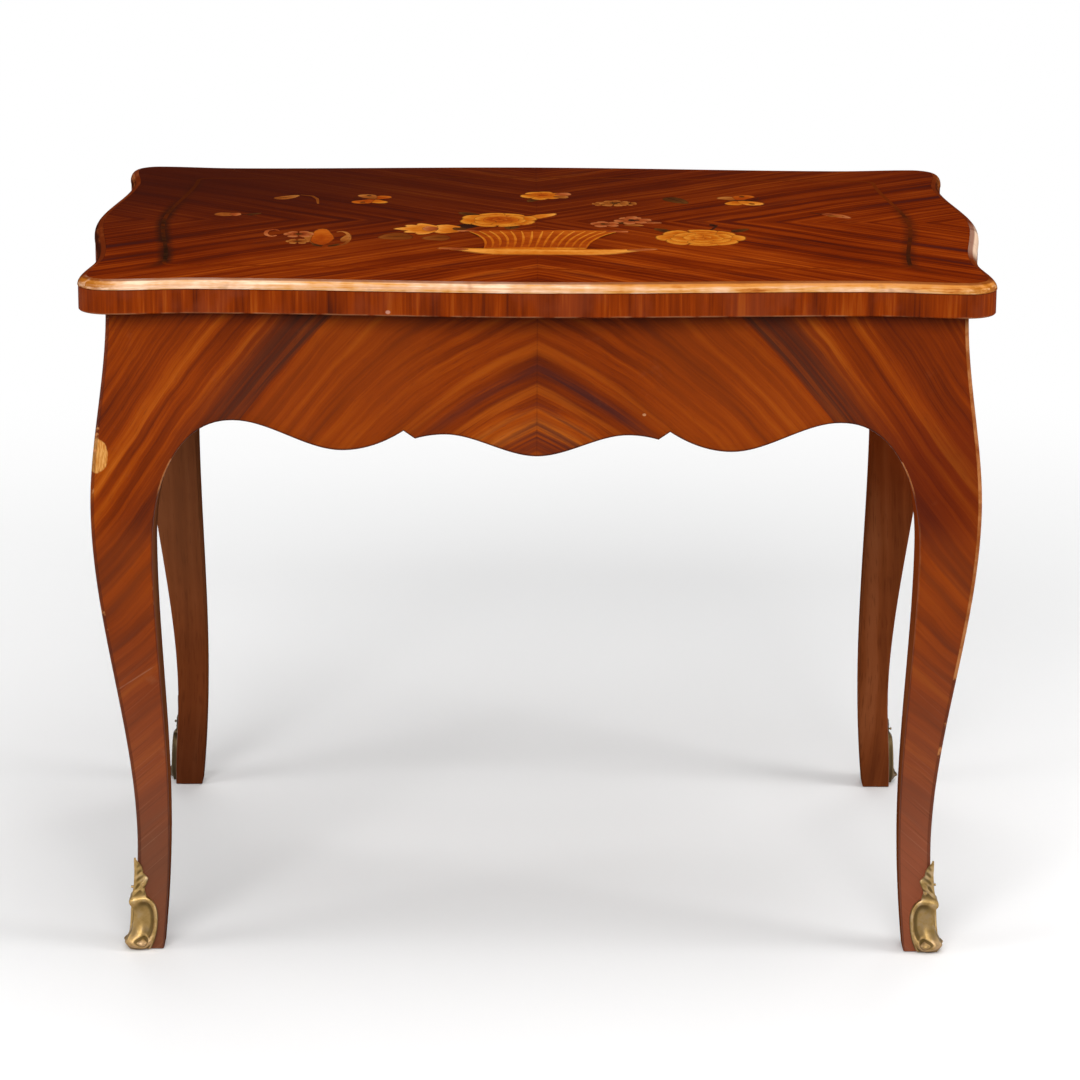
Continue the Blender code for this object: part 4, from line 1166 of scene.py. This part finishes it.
def petal(at, heading, length, width, wood, lean=0.2, bend=0.0):
    """Lean makes the far end fuller (up to 1) or pointed (down to -1)."""
    cuts, points = stack["cuts"], []
    for k in range(PETAL_POINTS):
        turn = 2.0 * math.pi * k / PETAL_POINTS
        share = (1.0 - math.cos(turn)) / 2
        waver = 1.0 + 0.10 * math.sin(3.0 * turn + 1.7 * cuts) + 0.06 * math.sin(5.0 * turn + cuts)
        across = width / 2 * math.sin(turn) * waver * (1.0 + lean * (2.0 * share - 1.0))
        points.append(walk(at, heading, length * share, across + bend * length * share ** 2))
    inlay_cut(points, wood, at, points[PETAL_POINTS // 2])


def ribbon(path, width, wood):
    """A narrow strip along a path, for stems, ribs and curled outlines."""
    left, right = [], []
    for k, (x, y) in enumerate(path):
        ahead, behind = path[min(k + 1, len(path) - 1)], path[max(k - 1, 0)]
        step = Vector((ahead[0] - behind[0], ahead[1] - behind[1])).normalized()
        half = width / 2 * (0.35 + 0.65 * math.sin(math.pi * (k + 0.5) / len(path)))
        left.append((x - step.y * half, y + step.x * half))
        right.append((x + step.y * half, y - step.x * half))
    inlay_cut(left + right[::-1], wood, path[0], path[-1], "NGON")


print("petal helpers ready")

# %% [markdown]
# Flowers, leaves and butterflies are arrangements of those cuts. A rose is four rings of petals, a
# leaf is a pointed petal with a rib, and a butterfly has two wings on each side of a dark body.

# %% Flowers, leaves and butterflies
rose_rings = [  # petals, start, length, width, turn, lean, and whether it is an inner ring
    (8, 0.40, 0.60, 0.66, 0.0, 0.35, False), (6, 0.20, 0.52, 0.58, 0.4, 0.35, False),
    (5, 0.05, 0.42, 0.42, 0.9, 0.30, True), (3, 0.00, 0.22, 0.22, 0.2, 0.20, True),
]


def corolla(at, count, start, length, width, wood, turn=0.0, lean=0.3):
    for k in range(count):
        heading = turn + 2.0 * math.pi * k / count
        swayed, grown = heading + 0.12 * math.sin(2.3 * k), length * (1.0 + 0.12 * math.sin(5.0 * k))
        petal(walk(at, heading, start), swayed, grown, width, wood, lean)


def rose(at, size, turn, outer, inner):
    for count, start, length, width, swing, lean, within in rose_rings:
        corolla(at, count, start * size, length * size, width * size,
                inner if within else outer, turn + swing, lean)


def leaf(at, heading, length, width, wood, bend=0.0):
    """A pointed petal with a dark midrib."""
    petal(at, heading, length, width, wood, -0.35, bend)
    ribbon([walk(at, heading, length * share, bend * length * share ** 2)
            for share in spread(0.0, 0.86, 6)], 1.0, DARK)


def butterfly(at, heading, size, woods):
    """Wings on both sides of a dark body. Woods holds the fore and hind wing of each side."""
    for side, (fore, hind) in zip((-1.0, 1.0), woods):
        far = heading + side * 1.15
        petal(at, heading + side * 1.95, 0.85 * size, 0.60 * size, hind, 0.35, 0.14 * side)
        petal(at, far, 1.05 * size, 0.62 * size, fore, 0.40, -0.14 * side)
        petal(walk(at, far, 0.62 * size), far, 0.24 * size, 0.20 * size, OLIVE, 0.0)
        ribbon([walk(at, heading + side * swing, reach * size)
                for reach, swing in ((0.40, 0.05), (0.65, 0.18), (0.85, 0.36))], 1.2, DARK)
    petal(walk(at, heading, -0.45 * size), heading, 0.95 * size, 0.14 * size, DARK, 0.1)


def hoop(at, wide, deep, start, end, width, wood):
    ribbon([(at[0] + wide * math.cos(a), at[1] + deep * math.sin(a))
            for a in spread(start, end, 14)], width, wood)


@contextmanager
def inlay(name, slot):
    """Open one piece of marquetry, let it be cut, and settle it in its pocket."""
    piece = new_piece("marquetry_" + name)
    piece.data.uv_layers.new(name="cut")
    give(piece, *inlay_woods)
    open_piece(piece)
    stack["cuts"] = 0
    yield
    close_piece(turn_out=False)
    settle(piece, ["inlay_" + name])


print("flower helpers ready")

# %% [markdown]
# The basket is woven in the picture by staves that fan out from a narrow foot to a wide rim, with
# thin pale ribs between them. It stands on a long pale plank with tapered ends.

# %% Basket and plinth
STAVES, PLANK_MIDDLE, PLANK_HALF, PLANK_Y = 14, 7.5, 78, -117.5


def stave_point(side, t):
    half = 36.5 + 19 * max(t, 0) ** 2.6
    return (-1.5 + 5.9 * t + side * half, -106 + 66 * t)


def plank_point(x, side):
    """The plank sags in the middle and thins out into two upturned ends."""
    bow = ease(abs(x - PLANK_MIDDLE) / PLANK_HALF) ** 4
    return (x, PLANK_Y + 12 * bow + side * 11 * (1 - 0.80 * bow))


with inlay("basket", "pale_inlay_wood"):
    stave_sides = spread(-1, 1, STAVES)
    for k, (left, right) in enumerate(zip(stave_sides, stave_sides[1:])):
        outline = [stave_point(left, t) for t in spread(0, 1, 8)]
        outline += [stave_point(right, t) for t in spread(1, 0, 8)]
        root, tip = (stave_point((left + right) / 2, t) for t in (-0.1 - 0.5 * (k % 2), 1.9))
        inlay_cut(outline, SATIN, root, tip)
    for side in stave_sides:
        ribbon([stave_point(side, t) for t in spread(0, 0.98, 12)], 1.8, BOX)
    ribbon([stave_point(side, 1) for side in spread(-1.04, 1.04, 16)], 4, SATIN)
    for side in (-1, 1):
        ribbon([stave_point(side * reach, 0.985) for reach in spread(0.84, 1.14, 6)], 5, ROSE)
    ribbon([stave_point(side, 0.02) for side in spread(-1, 1, 12)], 3.4, BOX)

with inlay("plinth", "pale_inlay_wood"):
    back = [plank_point(x, 1) for x in spread(85.5, -70.5, 24)]
    front = [plank_point(x, -1) for x in spread(-70.5, 85.5, 24)]
    inlay_cut(back + front, HOLLY, (PLANK_MIDDLE, -150), (PLANK_MIDDLE, -105))
    ribbon([(x, y - 1.4) for x, y in back], 4, BOX)
    ribbon([(x, y + 1) for x, y in front], 2, TAN)
    for x, heading in ((-49, 2.98), (64, 0.16)):
        petal((x, -109.5), heading, 23, 6.6, ROSE, -0.3)

# %% [markdown]
# The bouquet has two full roses, a lily that leans to the left and smaller blossoms at the back
# and between. They are drawn with the same few helpers, back leaves first.

# %% Bouquet
with inlay("rose_centre", "pale_inlay_wood"):
    leaf((-45, -15), 3.95, 26, 15, DARK, 0.10)
    leaf((-18, -18), -1.70, 16, 11, OLIVE)
    leaf((-44, 18), 2.35, 20, 11, OLIVE)
    petal((-6, 11), 0.55, 27, 12, HOLLY, -0.2, 0.16)
    rose((-27.5, 2.5), 28.5, 0.3, BOX, SATIN)

with inlay("rose_right", "tan_inlay_wood"):
    ribbon([(124, -38), (129, -29), (131.5, -21), (133, -13)], 2.2, DARK)
    petal((131.5, -19), 1.9, 10, 5, DARK, -0.2)
    leaf((143, -40), 0.8, 18, 9, OLIVE)
    leaf((96, -40), 2.2, 16, 9, OLIVE)
    rose((120, -62.5), 32, 0, BOX, BOX)

with inlay("blossom_left", "pale_inlay_wood"):
    leaf((-90.5, -60), 3.38, 26, 25, FADED, 0.05)
    leaf((-63, -64), 3.40, 21.5, 20, FADED, 0.05)
    for y, heading in ((-26.5, 3.02), (-40.5, 3.26), (-33.5, 3.14)):
        petal((-55.5, y), heading, 21, 15, HOLLY, 0.1)
    for swing, length in ((-1.15, 23), (1.15, 23), (-0.60, 24), (0.60, 24), (0, 28)):
        petal((-77, -33.5), math.pi + swing, length, 14, HOLLY, -0.3)
    petal((-72, -33.5), math.pi, 12, 18, ROSE, 0)
    petal((-51, -33.5), math.pi, 11, 11, OLIVE, 0.3)

with inlay("blossom_back", "pale_inlay_wood"):
    leaf((0, 89), -2, 15, 8, OLIVE)
    corolla((5, 103), 6, 3, 14, 12.5, BOX, 0.3)
    petal((14, 107), 0.15, 13, 12, ROSE, 0.1)
    petal((13, 98), -0.25, 12, 11, TAN, 0.1)
    corolla((5, 103), 4, 0, 6, 5.2, SATIN)

with inlay("ring_flower", "tan_inlay_wood"):
    leaf((99, 97), -1.00, 30, 15, OLIVE, -0.05)
    for x, y, size in ((50.5, 69, 8), (69, 70, 7.5), (59.5, 71, 11.5)):
        corolla((x, y), 7, 0.35 * size, 0.68 * size, 0.58 * size, TAN, x * 0.009)
        corolla((x, y), 3, 0, 0.42 * size, 0.34 * size, OLIVE, 0.5)

with inlay("pink_flower", "rose_inlay_wood"):
    leaf((58, -8), 0.1, 12, 6, OLIVE)
    corolla((50, -11.5), 5, 1, 10.5, 8.5, ROSE, 0.5)
    corolla((50, -11.5), 3, 0, 4, 3.4, OLIVE)
    leaf((76.5, -6), 0, 16, 7, ROSE)
    petal((64, -15), -0.10, 15, 6.5, TAN, -0.3)
    corolla((71.5, 3), 6, 3, 11, 9, ROSE, 0.2)
    corolla((71.5, 3), 3, 0, 4.8, 4.2, DARK)
    petal((65.5, 13), 0, 10, 11, ROSE)

# %% [markdown]
# Round the bouquet lie the loose things: butterflies with two pairs of wings, a spray with curled
# pink outlines at the left, and small buds near the stringing.

# %% Scattered sprigs
with inlay("butterfly_right", "pale_inlay_wood"):
    butterfly((153.5, 85), 0.20, 22.5, ((HOLLY, BOX), (SATIN, TAN)))

with inlay("butterfly_left", "tan_inlay_wood"):
    butterfly((-123.5, 83.5), 3.00, 20.5, ((TAN, SATIN), (SATIN, BOX)))

with inlay("flower_low_left", "rose_inlay_wood"):
    hoop((-143, -71.5), 7, 26.5, -1.75, 2, 3, TAN)
    petal((-154.5, -98), 1.90, 52, 13, TAN, 0, -0.10)
    petal((-140.5, -85), 1.45, 28, 6, TAN, 0)
    petal((-155, -98), 1.60, 64, 16.5, SATIN, 0)
    leaf((-150, -101), 0.75, 13, 5, OLIVE, 0.15)
    leaf((-154.5, -101), 2.35, 13, 5, OLIVE, -0.15)
    for x, y, size, wood in ((-173, -83, 8.5, TAN), (-173.5, -56, 11, ROSE)):
        corolla((x, y), 6, 0.30 * size, 0.75 * size, 0.66 * size, wood, x * 0.030)
        corolla((x, y), 3, 0, 0.26 * size, 0.24 * size, OLIVE, 0.4)
    hoop((-192.5, -52), 5, 13, 0.7, 5.4, 3, ROSE)

with inlay("leaf_back_left", "tan_inlay_wood"):
    leaf((-199, 83), 0.60, 24, 11.5, TAN, 0.10)
    ribbon([(-180, 100), (-171, 96), (-166.5, 84), (-165, 64)], 2.6, FADED)

with inlay("bud_left", "pale_inlay_wood"):
    ribbon([(-223, 20), (-215, 18), (-208, 12)], 1.6, DARK)
    leaf((-216, 18), 0.60, 13, 5.5, OLIVE)
    petal((-240.5, 20), 0, 20, 13, TAN, -0.1)
    petal((-229, 20), 0, 9, 11, ROSE, 0)

with inlay("bud_right", "rose_inlay_wood"):
    ribbon([(221, 32), (212, 33), (205, 38)], 1.6, DARK)
    leaf((214, 34), -0.62, 27, 11.5, ROSE, -0.10)
    petal((217, 25), -0.10, 12, 7, TAN, -0.3)

# %% [markdown]
# The foot mounts are cast in bronze, chased and gilded, and two centuries have worn the gold to a
# pale brass with brown in the hollows. A stored value marks the hollows, so the dirt follows the
# modelling and not the picture.

# %% Gilt bronze and steel
gilt_stops = even_stops((0.320, 0.200, 0.066), (0.460, 0.300, 0.116), (0.560, 0.400, 0.222))


def old_gilding(name):
    mat, shader, place, x, y, z = new_finish(name, metal=1.0)
    pit = place.node("Attribute", {"attribute_name": "pit"}, {}, 2)
    cloudy = cloud(place, 160.0, 4.0, 0.6)
    speck = cloud(place, 900.0, 2.0)
    toe = z.between(0.015, 0.005) * cloudy.between(0.35, 0.60) * 0.45
    dirt = (pit * 1.2 + (cloudy - 0.5) * 0.6).between(0.0, 0.85)
    # The back mounts, and a little the front right one, are painted dark: partly tarnished, partly
    # painted shade.
    tarnish_and_shade = y.between(0.05, 0.15).lerp(to_right(x) * 0.16, to_left(x).lerp(0.70, 0.85))
    colour = coats(
        cloudy.between(0.3, 0.7).ramp(gilt_stops),
        (toe, (0.520, 0.310, 0.170)),
        (dirt * 0.86, (0.130, 0.080, 0.024)),
        (tarnish_and_shade, (0.050, 0.036, 0.022)),
    )
    rough = dirt.lerp(0.42, 0.66) + speck * 0.08
    dress(shader, colour, rough, speck * 0.5 + cloudy * 0.5, 0.00015, 0.5)
    return mat


def turned_steel(name):
    mat, shader, place, x, y, z = new_finish(name, metal=1.0)
    turnings = fibres(x * 300.0, y * 300.0, z * 3000.0, 3.0)
    rust = cloud(place, 400.0, 4.0, 0.65).between(0.50, 0.70)
    colour = turnings.between(0.3, 0.7).paint((0.260, 0.250, 0.240), (0.380, 0.370, 0.350))
    colour = (rust * 0.6).paint(colour, (0.130, 0.060, 0.028))
    dress(shader, colour, rust.lerp(0.36, 0.72), turnings, 0.00006, 0.5)
    return mat


gilding = old_gilding("old_gilding")
steel = turned_steel("turned_steel")
print("metals ready")

# %% [markdown]
# A foot mount is a thin casting wrapped round the front corner of the foot. Its outline has a
# round belly, a neck and a ragged leaf up the arris. Its relief is a sum of soft bumps: a C-scroll
# round a hollow panel, a curled toe, a small knop at the neck, and the rib and veins of the leaf.

# %% Relief of a foot mount
MOUNT_HEIGHT, MOUNT_CLEAR, MOUNT_GAP = 0.069, 0.0006, 0.0002
BELLY, SCROLL_HIGH, NECK, PIN_HEIGHTS = 0.0225, 0.0215, 0.0400, (0.0490, 0.0450)
leaf_widths = [
    (NECK, 0.0078), (0.0455, 0.0063), (0.0530, 0.0086), (0.0580, 0.0047), (0.0605, 0.0044),
    (MOUNT_HEIGHT, 0.0004),
]


def bell(value, middle, wide):
    return math.exp(-((value - middle) / wide) ** 2)


def mount_width(z):
    """Reach of the mount along either face: a round belly, a neck and a leaf that ends in a point."""
    rise = (z - BELLY) / (0.0190 if z > BELLY else 0.0285)
    belly = 0.0170 * max(0.0, 1.0 - abs(rise) ** 2.4) ** 0.45
    return max(belly, through(max(z, NECK), leaf_widths)) if z > BELLY else belly


def mount_lean(z):
    """How far the tip of the leaf stands free of the leg."""
    return 0.0012 * ease((z - 0.058) / 0.012)


def leaf_relief(v, z, width):
    rib = 0.0004 * max(0.0, 1.0 - (v / width) ** 2) - 0.0002 + 0.0008 * bell(v, 0.0, 0.0016)
    lobe = bell(v - 0.0028 - 0.55 * (z - 0.0450), 0.0, 0.0012) * (1.0 - ease((z - 0.052) / 0.004))
    veins = math.sin((z - 0.9 * v) * 2.0 * math.pi / 0.0052)
    veins *= ease(v / 0.002) * ease((width - v) / 0.0012)
    return ease((z - NECK) / 0.004) * (rib + 0.0008 * lobe + 0.00016 * veins)


def mount_relief(v, z):
    """Height of the metal at a distance from the arris along either face."""
    width = mount_width(z)
    wide, high = abs(v - 0.0060) / 0.0096, abs(z - SCROLL_HIGH) / 0.0170
    oval = (wide ** 2.3 + high ** 2.3) ** (1.0 / 2.3)
    scroll = 0.0029 * bell(oval, 1.0, 0.17) * (0.25 + 0.75 * ease(v / 0.008))
    hollow = 0.0004 * bell(oval, 0.0, 0.6)
    border = 0.0007 * bell(width - v, 0.0010, 0.0010) * (1.0 - ease((z - 0.006) / 0.010))
    knop = 0.0040 * bell(math.hypot(v, 0.85 * (z - 0.0366)), 0.0, 0.0040)
    toe = 0.0052 * bell(z, 0.0062, 0.0064) * bell(v, 0.0, 0.0080)
    toe += 0.0009 * bell(v, 0.0050, 0.0026) * bell(z, 0.0140, 0.0050)
    spin = math.hypot(v - 0.0068, z - 0.0066)
    curl = 0.0017 * bell(spin, 0.0, 0.0046) - 0.0012 * bell(spin, 0.0030, 0.0010)
    height = 0.0012 + scroll - hollow + border + knop + toe + curl + leaf_relief(v, z, width)
    height *= 1.0 - 0.45 * ease((z - 0.060) / 0.010)
    for pin in PIN_HEIGHTS:
        height += (0.0021 - height) * bell(math.hypot(v - 0.0050, z - pin), 0.0, 0.0018)
    return height


print("belly reaches", round(mount_width(BELLY), 4))

# %% [markdown]
# A grid is laid on the corner of the foot and a second layer is extruded from it. That layer is
# pushed out by the relief, each face straight out and the arris between both. Where a point lies
# lower than the points round it, the stored value says that it gathers dirt.

# %% Foot mounts
MOUNT_COLUMNS, MOUNT_ROWS, ARRIS_BLEND, BESIDE = 88, 124, 0.0055, 0.0018
steps_round = ((BESIDE, 0.0), (-BESIDE, 0.0), (0.0, BESIDE), (0.0, -BESIDE))
mesh = start_grid("mount_blank", MOUNT_COLUMNS, MOUNT_ROWS)
mount_blank = bpy.context.object
for vert in mesh.verts:
    z = MOUNT_CLEAR + (MOUNT_HEIGHT - MOUNT_CLEAR) * (vert.co.y + 0.5)
    u = 2.0 * vert.co.x * mount_width(z)
    skin = -leg_outer(z) - MOUNT_GAP - mount_lean(z)
    vert.co = (skin + max(0.0, -u), skin + max(0.0, u), z)
take_all_faces()
extrude(0.0, 0.0, 0.0)
mesh = bmesh.from_edit_mesh(mount_blank.data)
pit = mesh.verts.layers.float.new("pit")
for vert in [vert for vert in mesh.verts if vert.select]:
    z, u = vert.co.z, vert.co.y - vert.co.x
    v, width = abs(u), mount_width(z)
    high = mount_relief(v, z)
    round_about = [mount_relief(min(width, abs(v + a)), min(MOUNT_HEIGHT, max(0.0, z + b)))
                   for a, b in steps_round]
    vert[pit] = min(1.0, max(0.0, 0.25 + (sum(round_about) / 4 - high) / 0.0007))
    side = 1.0 - min(1.0, v / ARRIS_BLEND)
    push = high / math.hypot(1.0, side)
    vert.co.x -= push * (1.0 if u > 0.0 else side)
    vert.co.y -= push * (side if u > 0.0 else 1.0)
close_piece(0.9)

for corner, (x, y, turn) in corners.items():
    mount = stand_copy(mount_blank, "foot_mount_" + corner, x, y, turn)
    give(mount, gilding)
    settle(mount, ["sabot_" + corner])
bpy.data.objects.remove(mount_blank)

# %% [markdown]
# The pieces whose measured shape is already right stay as they are: the board under the veneer,
# the corner blocks, the screws and the small pins. They only take the better finishes.

# %% Finishes for the measured pieces
for name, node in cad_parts.items():
    for start, finish in (("top_board", bare_board), ("corner_block", bare_board),
                          ("top_screw", steel), ("sabot_pin", gilding)):
        if name.startswith(start):
            node.material_slots[0].material = finish
print("measured pieces finished")
